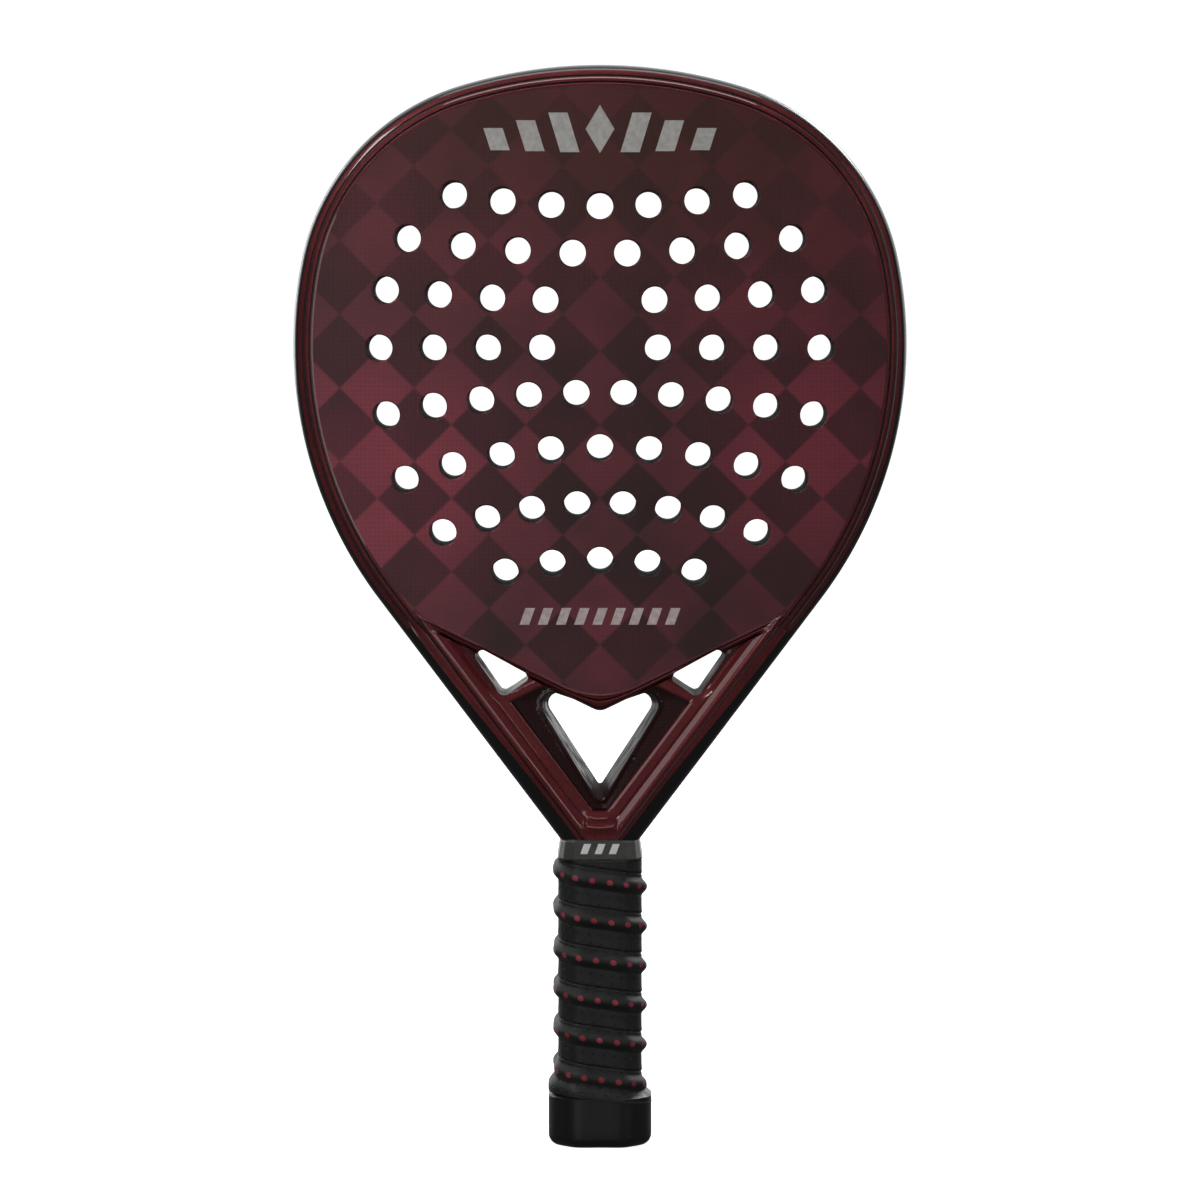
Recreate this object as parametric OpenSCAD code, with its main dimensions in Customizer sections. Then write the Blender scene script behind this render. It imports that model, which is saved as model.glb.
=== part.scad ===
// Padel racket: a carbon frame tube around a drilled foam core, two layered
// faces, a moulded throat with three windows, and a wrapped handle.
// Millimetres. X runs across the racket, Y through its thickness (the front
// face looks towards -Y) and Z up the handle to the top of the head. The
// origin is the centre of the butt's underside, at mid-thickness.

/* [Overall] */
// Length from the underside of the butt to the top of the head
racket_length = 455; // [450:1:455]
// Thickness of the head from face to face
head_thickness = 38; // [37:0.5:38]

/* [Head outline] */
// Radius of the arc over the top of the head
top_radius = 202.5; // [202:0.5:203]
// Radius of the arc at each shoulder
shoulder_radius = 95.7; // [95.5:0.1:96]
// Radius of the arc down each side
side_radius = 176.8; // [176.5:0.1:177]
// Heading, from straight up, where the top arc meets the shoulder arc
shoulder_heading = 16.9; // [16.8:0.1:17]
// Heading where the shoulder arc meets the side arc
side_heading = 78.2; // [78:0.1:78.4]
// Angle between each throat arm and the handle's axis
arm_angle = 36.9; // [36.7:0.1:37]
// Half the width of the throat where it meets the collar
throat_half_width = 16.9; // [16.5:0.1:17.5]

/* [Frame tube] */
// Width of the tube, from the outer edge inwards
tube_width = 13; // [12.6:0.2:13.4]
// Wall of the tube
tube_wall = 2.2; // [2:0.1:2.4]
// Width of rim that shows around the face
rim_width = 8.8; // [8.4:0.1:9.2]
// Wall of the moulding bladder left inside the tube
bladder_wall = 0.6; // [0.5:0.1:0.8]

/* [Face] */
// Thickness of each outer carbon skin
skin_thickness = 0.8; // [0.6:0.1:1]
// Thickness of the glass ply under each skin
ply_thickness = 0.5; // [0.4:0.1:0.6]
// Diameter of the holes through the face
hole_diameter = 11.2; // [9:0.2:12]
// Slope of the V along the lower edge of the face
chin_slope = 26; // [25.5:0.5:26.5]
// Depth of the decals let into the skins and the collar
decal_depth = 0.1; // [0.1:0.05:0.2]

/* [Throat] */
// Width of the head's lower rim, the bridge
bridge_width = 14.8; // [14:0.2:15.2]
// Distance from the arm's outer edge to the edge of the throat's recess
recess_inset = 18.6; // [18:0.2:19]
// Depth of the recess around the windows
recess_depth = 4; // [3:0.5:4.5]

/* [Handle] */
// Half the width of the handle under the grip
core_half_width = 15.8; // [15.4:0.1:16]
// Half the depth of the handle under the grip
core_half_depth = 14.4; // [14:0.1:14.6]
// Cut across each corner of the handle's octagon, along one side
core_corner = 5.3; // [5:0.1:5.6]
// Width of the foam strip between the two legs of the tube
strip_width = 5.6; // [5:0.2:6]

/* [Grip] */
// Thickness of the cushion grip between its ribs
grip_thickness = 1.9; // [1.6:0.1:2]
// Thickness of the double-sided tape under the grip
tape_thickness = 0.2; // [0.2:0.05:0.3]
// Rise of the grip's spiral rib
rib_height = 2; // [1.5:0.1:2]
// Width of the rib at its foot
rib_width = 6; // [5:0.5:7]
// Climb of the spiral in one turn
rib_pitch = 16.8; // [16.4:0.2:17]

/* [Collar and butt] */
// Height of the rubber collar
collar_height = 8.6; // [8:0.1:9]
// Half the width of the butt
butt_half_width = 21.6; // [21:0.1:22]
// Height of the butt cap's straight side
butt_height = 18; // [17:0.5:19]
// Diameter of the wrist cord's hole in the butt
cord_hole_diameter = 5.5; // [4:0.5:6]

/* [Hidden] */
$fn = 96;

half = head_thickness / 2;
beyond = 1;                  // how far a cutting solid runs past a face
far = 2 * racket_length;     // wider and taller than the whole racket

// Head outline. A heading is an angle from straight up, towards +X, and the
// three arcs of each side meet tangentially.
function heading(a) = [sin(a), cos(a)];
top_centre = [0, racket_length - top_radius];
shoulder_centre = top_centre + (top_radius - shoulder_radius) * heading(shoulder_heading);
side_centre = shoulder_centre + (shoulder_radius - side_radius) * heading(side_heading);
arm_heading = 90 + arm_angle;
arm_start = side_centre + side_radius * heading(arm_heading);
throat_z = arm_start[1] - (arm_start[0] - throat_half_width) / tan(arm_angle);

// A point on the outline at a signed heading, moved in by inset
function outline_point(a, inset) =
    let (h = abs(a),
         centre = h <= shoulder_heading ? top_centre
                : h <= side_heading ? shoulder_centre : side_centre,
         radius = h <= shoulder_heading ? top_radius
                : h <= side_heading ? shoulder_radius : side_radius,
         at = centre + (radius - inset) * heading(h))
    [a < 0 ? -at[0] : at[0], at[1]];

// Half the width between the arms' lines at a height, moved in by inset, and
// the height at which those lines meet, or the throat's foot if it is higher
function arm_x(z, inset) =
    throat_half_width + (z - throat_z) * tan(arm_angle) - inset / cos(arm_angle);
function arms_meet(inset) =
    throat_z + max(0, inset / cos(arm_angle) - throat_half_width) / tan(arm_angle);

// Headings at which the arcs are divided, from one arm round to the other
top_steps = 6;
shoulder_steps = 16;
side_steps = 14;
half_headings = concat(
    [for (i = [1 : top_steps]) shoulder_heading * i / top_steps],
    [for (i = [1 : shoulder_steps])
        shoulder_heading + (side_heading - shoulder_heading) * i / shoulder_steps],
    [for (i = [1 : side_steps]) side_heading + (arm_heading - side_heading) * i / side_steps]);
headings = concat([for (i = [len(half_headings) - 1 : -1 : 0]) -half_headings[i]], [0],
                  half_headings);

// Sections of the tube: distance in from the outer edge, and depth below the
// level of the face
rim_section = [[0, 9], [0.4, 5.5], [2.3, 2.4], [4.6, 1.4], [tube_width, 0.4]];
cavity_section = [[tube_wall, 9], [2 * tube_wall, 4.6], [2.7 * tube_wall, 3.6],
                  [tube_width - tube_wall, 3.6]];
function whole_section(points, shrink = 0) = concat(
    [for (p = points) [p[0] + shrink * (p[0] < tube_width / 2 ? 1 : -1), half - p[1] - shrink]],
    [for (i = [len(points) - 1 : -1 : 0]) let (p = points[i])
        [p[0] + shrink * (p[0] < tube_width / 2 ? 1 : -1), shrink + p[1] - half]]);

// The throat is thinner where it meets the handle
taper_height = 35;
taper_top_z = throat_z + taper_height;
leg_overlap = 1;             // how far the legs run up into the arms
throat_half_depth = 17.2;

// The V of the chin: the sharp point's distance below the top of the head, and
// the radius that rounds it
face_chin = [racket_length - 266.4, 34];
bridge_chin = [racket_length - 270.6, 6];
core_chin = [bridge_chin[0] + bridge_width / cos(chin_slope), 30];
layer_depth = skin_thickness + ply_thickness;
chin_steps = 8;              // sides of the rounded point, each way
bridge_cover = 0.6;          // how far the bridge's rim lies below the face
bridge_wall = 2.4;
bridge_foot_wall = 3.6;      // deeper, for the side windows' notches

// Rows of holes, from the top down: distance below the top of the head, radius
// that the row bends to (negative where its ends turn down), spacing, distance
// of the first hole from the middle, and number of holes on each side
straight = 1000 * racket_length;
hole_rows = [
    [58.7, 416, 20.4, 0, 4],
    [78.5, 526, 23, 11.5, 4],
    [98.3, 894, 22.2, 22.95, 4],
    [118, straight, 22.6, 24.35, 4],
    [136.8, -445, 19.95, 9.95, 5],
    [159.5, -257, 20.7, 0, 5],
    [183.1, -187.5, 19.15, 9.6, 4],
    [206.6, -162.7, 20.05, 0, 3]
];
function row_point(row, along) = let (a = along / row[1] * 180 / PI)
    [row[1] * sin(a), racket_length - row[0] + row[1] * (1 - cos(a))];

// Corners of the throat's windows: distance across from the middle, distance
// up from the throat's foot, and corner radius
foot = throat_z;
side_window = [[49.3, 77.9, 2], [32.8, 68.9, 2], [40, 64.8, 2.2]];
middle_window_half = [[17.4, 56.5, 4.4], [0, 23.9, 1.3], [0, 54.3, 0.5]];
recess_foot = 13;            // height of the recess's lower edge
link_foot = [36.2, 58.6];    // lower end of each link's underside
link_head = [25, 64.2];      // upper end of each link's underside
link_width = 7.5;            // reaches the side window's edge
yoke_wall = 2.4;
window_wall = 6.6;           // between the middle window and the foam
yoke_set_back = 1;           // of the throat's face behind the head's
link_set_back = 1.5;
foam_half_depth = 11.3;
foam_top = 51;

// Handle, from the butt up
socket_z = 3.5;              // floor of the socket in the butt cap
core_foot_z = 10;            // the core stops above it, leaving room for a knot
shoulder_height = 8;         // of the cap's cone between the butt and its neck
shoulder_z = butt_height + shoulder_height;
shoulder_step = 2.2;         // of the cone's foot inside the butt's edge
neck_wall = 0.4;
flare_height = 6;            // of the grip's flare over the cap's shoulder
flare_step = 0.2;            // of the flare's foot inside the butt's edge
grip_top_z = throat_z - collar_height;
finish_height = 5.5;
finish_top_z = grip_top_z + finish_height;
finish_thickness = 0.4;
octagon_growth = 2 - sqrt(2);        // of the corner's cut, as the octagon grows outwards
grip_half_width = core_half_width + tape_thickness + grip_thickness;
grip_half_depth = core_half_depth + tape_thickness + grip_thickness;
grip_corner = core_corner + octagon_growth * (tape_thickness + grip_thickness);
collar_half_depth = 17;
collar_lip = 0.1;            // of the collar's foot outside the grip
collar_corner = 6.3;         // at its foot
butt_chamfer = 3.4;
slice = 0.01;                // thickness of the slices that a loft joins

// Corners of an octagon: a rectangle with its corners cut
function octagon(half_x, half_y, corner) = [
    [half_x, -half_y + corner], [half_x, half_y - corner],
    [half_x - corner, half_y], [-half_x + corner, half_y],
    [-half_x, half_y - corner], [-half_x, -half_y + corner],
    [-half_x + corner, -half_y], [half_x - corner, -half_y]];
function handle_octagon(grow) = octagon(core_half_width + grow,
    core_half_depth + grow, core_corner + octagon_growth * grow);

// Colours
deep_red = "#3a0c12";
burgundy = "#5a2830";
black = "#202022";

// ---- shapes seen from the front, drawn in X and Z ----

module slab(low, high) {
    rotate([90, 0, 0]) translate([0, 0, -high]) linear_extrude(high - low) children();
}

// The same outline on the front and on the rear, between two depths from mid
module both_faces(inner, outer) {
    slab(-outer, -inner) children();
    slab(inner, outer) children();
}

module both_sides() {
    children();
    mirror([1, 0, 0]) children();
}

// Everything inside the frame's outline, drawn in by inset
module inside_outline(inset) {
    low = arms_meet(inset);
    x = arm_x(low, inset);
    polygon(concat([for (a = headings) outline_point(a, inset)],
                   x < slice ? [[0, low]] : [[x, low], [-x, low]]));
}

// Everything above a V whose point is rounded
module above_chin(chin) {
    radius = chin[1];
    reach = racket_length / 2;
    round_z = chin[0] + radius / cos(chin_slope);
    polygon(concat(
        [for (i = [-chin_steps : chin_steps]) let (a = chin_slope * i / chin_steps)
            [radius * sin(a), round_z - radius * cos(a)]],
        [[reach, chin[0] + reach * tan(chin_slope)], [reach, far], [-reach, far],
         [-reach, chin[0] + reach * tan(chin_slope)]]));
}

module rounded_corners(corners, grow = 0) {
    hull() for (c = corners) translate([c[0], foot + c[1]]) circle(c[2] + grow, $fn = 32);
}

module side_windows(grow = 0) {
    both_sides() rounded_corners(side_window, grow);
}

module middle_window_2d(grow = 0) {
    both_sides() rounded_corners(middle_window_half, grow);
}

module face_outline() {
    intersection() {
        inside_outline(rim_width);
        above_chin(face_chin);
    }
}

module core_outline() {
    intersection() {
        inside_outline(tube_width);
        above_chin(core_chin);
    }
}

module bridge_outline() {
    difference() {
        intersection() {
            inside_outline(tube_width);
            above_chin(bridge_chin);
        }
        above_chin(core_chin);
    }
}

module throat_outline(inset) {
    difference() {
        inside_outline(tube_width + inset);
        above_chin([bridge_chin[0] - inset, bridge_chin[1]]);
        translate([-far / 2, throat_z + inset - far]) square(far);
    }
}

// The bar between a side window and the middle window, right side
module link_outline() {
    run = link_foot - link_head;
    length = norm(run);
    intersection() {
        difference() {
            inside_outline(recess_inset);
            above_chin(bridge_chin);
        }
        translate([link_head[0], foot + link_head[1]])
            rotate(atan2(run[1], run[0]))
                translate([-length / 2, 0]) square([2 * length, link_width]);
    }
}

module hole_pattern() {
    for (row = hole_rows, i = [0 : row[4] - 1])
        let (along = row[3] + i * row[2])
            for (side = along > 0 ? [-1, 1] : [1])
                translate(row_point(row, side * along)) circle(d = hole_diameter);
}

// ---- solids of the head ----

// Rings of points: a section of the tube at a heading, and a level one across
// an arm, where the section's depth is scaled
function ring_at(a, section) =
    [for (p = section) let (at = outline_point(a, p[0])) [at[0], p[1], at[1]]];
function level_ring(side, z, section, scale) =
    [for (p = section) [side * arm_x(z, p[0]), p[1] * scale, z]];

// The tube from the foot of one arm round the head to the foot of the other,
// thinner towards each foot
module swept(section, foot_z) {
    taper = throat_half_depth / half;
    tube(concat(
        [level_ring(-1, foot_z, section, taper), level_ring(-1, taper_top_z, section, 1)],
        [for (a = headings) ring_at(a, section)],
        [level_ring(1, taper_top_z, section, 1), level_ring(1, foot_z, section, taper)]));
}

// A closed solid through a list of rings that all have as many points
module tube(rings) {
    sides = len(rings[0]);
    last = len(rings) - 1;
    corners = [for (i = [0 : last - 1], k = [0 : sides - 1])
        [i * sides + k, i * sides + (k + 1) % sides]];
    polyhedron([for (ring = rings) for (p = ring) p], concat(
        [[for (k = [sides - 1 : -1 : 0]) k]],
        [for (c = corners) [c[0], c[1], c[1] + sides]],
        [for (c = corners) [c[0], c[1] + sides, c[0] + sides]],
        [[for (k = [0 : sides - 1]) last * sides + k]]));
}

// The space that the throat may fill: level with the head above, and sloping
// in to the collar below
module throat_space() {
    rotate([90, 0, 90]) translate([0, 0, -far / 2]) linear_extrude(far)
        polygon([[-half, far], [-half, taper_top_z], [-throat_half_depth, throat_z],
                 [throat_half_depth, throat_z], [half, taper_top_z], [half, far]]);
}

module legs_outline(inset) {
    gap = strip_width + 2 * inset;
    difference() {
        polygon(handle_octagon(-inset));
        square([gap, far], center = true);
    }
}

module tube_cavity(shrink) {
    inset = tube_wall + shrink;
    swept(whole_section(cavity_section, shrink), throat_z + inset);
    translate([0, 0, core_foot_z + inset])
        linear_extrude(throat_z - core_foot_z - 2 * inset) legs_outline(inset);
}

module frame_tube() {
    color(deep_red) difference() {
        union() {
            swept(whole_section(rim_section), throat_z);
            translate([0, 0, core_foot_z])
                linear_extrude(throat_z - core_foot_z + leg_overlap) legs_outline(0);
        }
        tube_cavity(0);
        both_faces(half - layer_depth, half + beyond) face_outline();
    }
}

module frame_bladder() {
    color("#d8d8d0") difference() {
        tube_cavity(0);
        tube_cavity(bladder_wall);
    }
}

module bridge_tube() {
    color(deep_red) difference() {
        slab(-half + bridge_cover, half - bridge_cover) difference() {
            bridge_outline();
            side_windows();
        }
        both_faces(half - layer_depth, half + beyond) face_outline();
        bridge_cavity();
    }
}

module bridge_cavity() {
    depth = half - layer_depth - bridge_wall;
    slab(-depth, depth) difference() {
        intersection() {
            inside_outline(tube_width + bridge_wall);
            above_chin([bridge_chin[0] + bridge_foot_wall / cos(chin_slope), bridge_chin[1]]);
        }
        above_chin([core_chin[0] - bridge_wall / cos(chin_slope), core_chin[1]]);
    }
}

module bridge_foam() {
    color("#e8e4d8") bridge_cavity();
}

module head_core() {
    depth = half - layer_depth;
    color("#e9e9e4") slab(-depth, depth) difference() {
        core_outline();
        hole_pattern();
    }
}

module face_layer(inner, outer) {
    slab(inner, outer) difference() {
        face_outline();
        hole_pattern();
    }
}

module front_ply() {
    color("#c9c4a8") face_layer(-half + skin_thickness, -half + layer_depth);
}

module rear_ply() {
    color("#c9c4a8") face_layer(half - layer_depth, half - skin_thickness);
}

module front_skin() {
    color(burgundy) difference() {
        face_layer(-half, -half + skin_thickness);
        front_emblem();
        front_stripes();
    }
}

module rear_skin() {
    color(burgundy) difference() {
        face_layer(half - skin_thickness, half);
        rear_emblem();
        rear_stripes();
    }
}

// ---- decals, let into the skins flush with the surface ----

emblem_z = racket_length - 27;       // middle of the emblem
emblem_height = 20;
diamond_half_width = 6;
emblem_bars = 3;             // on each side of the diamond
bar_width = 8;
bar_pitch = 14;
bar_gap = 1;                 // extra, beside the diamond
bar_lean = 6;
bar_drop = 1.4;              // each bar is lower than the one before
bar_cut = 3.6;               // and shorter
stripes_z = racket_length - 233.5;   // foot of the stripes
stripe_height = 7;
stripe_width = 4;
stripe_pitch = 7.6;
stripe_lean = 2.5;
stripes_each_side = 4;

// A leaning bar, centred on its point
module leaning_bar(width, height, lean) {
    polygon([[-width / 2 - lean / 2, -height / 2], [width / 2 - lean / 2, -height / 2],
             [width / 2 + lean / 2, height / 2], [-width / 2 + lean / 2, height / 2]]);
}

module emblem_outline() {
    translate([0, emblem_z]) {
        polygon([[-diamond_half_width, 0], [0, -emblem_height / 2],
                 [diamond_half_width, 0], [0, emblem_height / 2]]);
        both_sides() for (i = [1 : emblem_bars])
            translate([i * bar_pitch + bar_gap, -i * bar_drop])
                leaning_bar(bar_width, emblem_height - i * bar_cut, bar_lean - i);
    }
}

module stripes_outline() {
    translate([0, stripes_z])
        for (i = [-stripes_each_side : stripes_each_side])
            translate([i * stripe_pitch, stripe_height / 2])
                leaning_bar(stripe_width, stripe_height, stripe_lean);
}

module front_emblem() {
    color("#a8a8a0") slab(-half, -half + decal_depth) emblem_outline();
}

module rear_emblem() {
    color("#a8a8a0") slab(half - decal_depth, half) emblem_outline();
}

module front_stripes() {
    color("#d8c8c8") slab(-half, -half + decal_depth) stripes_outline();
}

module rear_stripes() {
    color("#d8c8c8") slab(half - decal_depth, half) stripes_outline();
}

// ---- solids of the throat ----

module throat_yoke() {
    face = half - yoke_set_back;
    color(deep_red) difference() {
        intersection() {
            slab(-face, face) difference() {
                throat_outline(0);
                side_windows();
                middle_window_2d();
                both_sides() link_outline();
            }
            throat_space();
        }
        both_faces(face - recess_depth, half + beyond) difference() {
            throat_outline(recess_inset - tube_width);
            translate([-far / 2, foot + recess_foot - far]) square(far);
        }
        yoke_cavity();
    }
}

module yoke_cavity() {
    slab(-foam_half_depth, foam_half_depth) difference() {
        throat_outline(yoke_wall);
        middle_window_2d(window_wall);
        translate([-far / 2, foot + foam_top]) square(far);
    }
}

module yoke_foam() {
    color("#e8e4d8") yoke_cavity();
}

module link() {
    depth = half - link_set_back;
    color(deep_red) slab(-depth, depth) difference() {
        link_outline();
        side_windows();
        middle_window_2d();
    }
}

module right_link() {
    link();
}

module left_link() {
    mirror([1, 0, 0]) link();
}

// ---- solids of the handle ----

// A level of a loft is [height, half width, half depth, corner]
module loft(levels) {
    for (i = [0 : len(levels) - 2]) hull() {
        loft_slice(levels[i], 0);
        loft_slice(levels[i + 1], -slice);
    }
}

module loft_slice(level, lift) {
    translate([0, 0, level[0] + lift])
        linear_extrude(slice) polygon(octagon(level[1], level[2], level[3]));
}

module handle_ring(low, high, inner, outer) {
    translate([0, 0, low]) linear_extrude(high - low) difference() {
        polygon(handle_octagon(outer));
        polygon(handle_octagon(inner));
    }
}

module handle_foam() {
    color("#e8e4d8") translate([0, 0, core_foot_z])
        linear_extrude(throat_z - core_foot_z) intersection() {
            polygon(handle_octagon(0));
            square([strip_width, far], center = true);
        }
}

butt_corner = 8;
shoulder_corner = 7;
neck_grow = tape_thickness + neck_wall;

module butt_cap() {
    color(black) difference() {
        union() {
            loft([[0, butt_half_width - butt_chamfer, half - butt_chamfer,
                   butt_corner - octagon_growth * butt_chamfer],
                  [butt_chamfer, butt_half_width, half, butt_corner],
                  [butt_height, butt_half_width, half, butt_corner]]);
            cap_shoulder();
        }
        translate([0, 0, socket_z])
            linear_extrude(shoulder_z) polygon(handle_octagon(0));
        translate([0, 0, -beyond]) cylinder(h = socket_z + 2 * beyond, d = cord_hole_diameter);
    }
}

module cap_shoulder() {
    loft([[butt_height, butt_half_width - shoulder_step, half - shoulder_step, shoulder_corner],
          [shoulder_z, core_half_width + neck_grow, core_half_depth + neck_grow,
           core_corner + octagon_growth * neck_grow]]);
}

module grip_tape() {
    color("#b8b09a") handle_ring(shoulder_z, grip_top_z, 0, tape_thickness);
}

module cushion_grip() {
    flare_z = butt_height + flare_height;
    color(black) difference() {
        union() {
            loft([[butt_height, butt_half_width - flare_step, half - flare_step, butt_corner],
                  [flare_z, grip_half_width, grip_half_depth, grip_corner]]);
            translate([0, 0, flare_z]) linear_extrude(grip_top_z - flare_z)
                polygon(octagon(grip_half_width, grip_half_depth, grip_corner));
        }
        cap_shoulder();
        translate([0, 0, butt_height]) linear_extrude(racket_length)
            polygon(handle_octagon(tape_thickness));
    }
}

// The rib winds round the octagon from the top of the grip to the butt. A
// station lies at each corner, and the rib drops with the distance walked.
rib_top_z = grip_top_z - 0.1;
rib_first = 4;               // the corner at which the rib starts, at the rear
rib_last = 47;               // and the one at which it ends, by the butt
rib_flank = [0.75 * rib_height, rib_width / 3.4];
rib_corners = octagon(grip_half_width, grip_half_depth, grip_corner);
function corner_at(i) = rib_corners[i % 8];
function walked(i) = i == 0 ? 0 : walked(i - 1) + norm(corner_at(i) - corner_at(i - 1));
rib_lap = walked(8);
function corner_normal(i) =
    let (before = corner_at(i) - corner_at(i + 7), after = corner_at(i + 1) - corner_at(i),
         n1 = [before[1], -before[0]] / norm(before), n2 = [after[1], -after[0]] / norm(after),
         n = n1 + n2)
    n / (n * n1);
// Section of the rib: distance out from the grip, and height up it
rib_profile = [[0, -rib_width / 2], [rib_flank[0], -rib_flank[1]], [rib_height, 0],
               rib_flank, [0, rib_width / 2]];

module grip_rib() {
    color("#2c2c2e") tube([for (i = [rib_first : rib_last])
        let (drop = rib_pitch * (walked(i) - walked(rib_first)) / rib_lap,
             z = rib_top_z - rib_width / 2 - drop)
            [for (p = rib_profile)
                let (at = corner_at(i) + p[0] * corner_normal(i)) [at[0], at[1], z + p[1]]]]);
}

module finishing_tape() {
    color("#303034") handle_ring(grip_top_z, finish_top_z, 0, finish_thickness);
}

module collar() {
    color("#38383c") difference() {
        loft([[grip_top_z, grip_half_width + collar_lip, collar_half_depth, collar_corner],
              [throat_z, throat_half_width, collar_half_depth, core_corner]]);
        translate([0, 0, grip_top_z - beyond])
            linear_extrude(racket_length) polygon(handle_octagon(0));
        translate([0, 0, grip_top_z - beyond])
            linear_extrude(finish_top_z - grip_top_z + beyond)
                polygon(handle_octagon(finish_thickness));
        collar_mark();
    }
}

mark_bars = 3;
mark_pitch = 6;
mark_width = 3.9;
mark_lean = 2;

module collar_mark() {
    color("white") slab(-collar_half_depth, -collar_half_depth + decal_depth)
        for (i = [0 : mark_bars - 1])
            translate([(i - (mark_bars - 1) / 2) * mark_pitch, grip_top_z + collar_height / 2])
                leaning_bar(mark_width, collar_height / 2, mark_lean);
}

frame_tube();
frame_bladder();
bridge_tube();
bridge_foam();
head_core();
front_ply();
rear_ply();
front_skin();
rear_skin();
throat_yoke();
yoke_foam();
left_link();
right_link();
handle_foam();
butt_cap();
grip_tape();
cushion_grip();
grip_rib();
finishing_tape();
collar();
front_emblem();
rear_emblem();
front_stripes();
rear_stripes();
collar_mark();
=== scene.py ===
"""Padel racket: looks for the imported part. Lengths are millimetres until a mesh is made."""

import math

import bmesh
import bpy
import numpy as np
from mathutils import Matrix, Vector
from mathutils.geometry import delaunay_2d_cdt


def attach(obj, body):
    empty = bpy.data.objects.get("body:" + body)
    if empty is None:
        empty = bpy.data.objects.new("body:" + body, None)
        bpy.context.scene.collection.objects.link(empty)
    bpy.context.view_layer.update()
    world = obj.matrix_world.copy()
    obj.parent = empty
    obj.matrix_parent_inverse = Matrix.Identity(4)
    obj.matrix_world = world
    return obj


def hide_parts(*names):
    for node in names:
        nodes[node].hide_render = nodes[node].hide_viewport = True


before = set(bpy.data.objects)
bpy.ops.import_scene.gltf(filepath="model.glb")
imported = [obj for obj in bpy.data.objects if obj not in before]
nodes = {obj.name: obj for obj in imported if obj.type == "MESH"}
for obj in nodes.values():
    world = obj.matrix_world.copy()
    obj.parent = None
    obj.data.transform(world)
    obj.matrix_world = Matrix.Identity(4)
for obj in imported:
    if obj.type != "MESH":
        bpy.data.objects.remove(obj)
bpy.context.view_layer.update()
scene = bpy.context.scene

# ---------------- camera

camera = bpy.data.objects.new("camera", bpy.data.cameras.new("camera"))
scene.collection.objects.link(camera)
CAMERA_PLACE, CAMERA_AIM = Vector((0, -2.13, 0.370)), Vector((0, 0, 0.2306))
camera.location = CAMERA_PLACE
camera.rotation_euler = (CAMERA_AIM - CAMERA_PLACE).to_track_quat("-Z", "Y").to_euler()
camera.data.lens = 151.8
camera.data.sensor_width = 36
scene.camera = camera

# ---------------- outline

# Three arcs from the top to the arm, as radii and the headings where they end, then the arm's straight line
LENGTH, HALF = 455.0, 19.0
R_TOP, R_SHOULDER, R_SIDE = 202.5, 95.7, 176.8
A_TOP, A_SHOULDER, ARM = 16.9, 78.2, 36.9
THROAT_X = 16.9
SIN, COS, TAN = (f(math.radians(ARM)) for f in (math.sin, math.cos, math.tan))
# The edges below the face are Vs of one slope, in degrees, whose points lie at these heights
V_SLOPE = 26.0
FACE_POINT, BRIDGE_POINT = LENGTH - 266.4, LENGTH - 270.6
CORE_POINT = BRIDGE_POINT + 14.8 / math.cos(math.radians(V_SLOPE))


def heading(a):
    return np.array([math.sin(math.radians(a)), math.cos(math.radians(a))])


C_TOP = np.array([0, LENGTH - R_TOP])
C_SHOULDER = C_TOP + (R_TOP - R_SHOULDER) * heading(A_TOP)
C_SIDE = C_SHOULDER + (R_SHOULDER - R_SIDE) * heading(A_SHOULDER)
ARM_TOP = C_SIDE + R_SIDE * heading(90 + ARM)
THROAT_Z = ARM_TOP[1] - (ARM_TOP[0] - THROAT_X) / TAN
TAPER_Z = THROAT_Z + 35
THROAT_HALF = 17.2


def taper(z):
    """How much of its full depth the racket has at a height."""
    return np.interp(z, [THROAT_Z, TAPER_Z], [THROAT_HALF / HALF, 1.0])


def inset_of(x, z):
    """Distance of each point in from the silhouette."""
    p = np.stack([np.abs(x), z], -1)

    def polar(c):
        v = p - c
        return np.degrees(np.arctan2(v[..., 0], v[..., 1])), np.hypot(v[..., 0], v[..., 1])

    at, rt = polar(C_TOP)
    ash, rsh = polar(C_SHOULDER)
    asi, rsi = polar(C_SIDE)
    arm = (THROAT_X + (p[..., 1] - THROAT_Z) * TAN - p[..., 0]) * COS
    d = np.where(asi <= 90 + ARM, R_SIDE - rsi, arm)
    d = np.where((ash <= A_SHOULDER) & (ash > -90) & (at > A_TOP), R_SHOULDER - rsh, d)
    return np.where(at <= A_TOP, R_TOP - rt, d)


class Station:
    """A place on the right half of the silhouette. skew levels the sections towards the foot."""

    def __init__(self, point, inward, along, skew, foot):
        self.point, self.inward, self.along, self.skew, self.foot = point, inward, along, skew, foot

    def at(self, inset):
        return self.point + inset * (self.inward + self.skew * self.along)


def stations(step=1.6):
    made = []
    for centre, radius, a0, a1 in ((C_TOP, R_TOP, 0, A_TOP), (C_SHOULDER, R_SHOULDER, A_TOP, A_SHOULDER),
                                   (C_SIDE, R_SIDE, A_SHOULDER, 90 + ARM)):
        n = int(math.radians(a1 - a0) * radius / step)
        for i in range(n):
            h = heading(a0 + (a1 - a0) * i / n)
            made.append(Station(centre + radius * h, -h, np.array([-h[1], h[0]]), 0.0, 1e3))
    span = np.linalg.norm(ARM_TOP - [THROAT_X, THROAT_Z])
    n = int(span / step)
    for i in range(n + 1):
        s = span * (1 - i / n)
        along = np.array([SIN, COS])
        point = np.array([THROAT_X, THROAT_Z]) + s * along
        t = min(1.0, s / 26)
        made.append(Station(point, np.array([-COS, SIN]), along, -TAN * (1 - t * t * (3 - 2 * t)), s))
    return made


STATIONS = stations()


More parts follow.
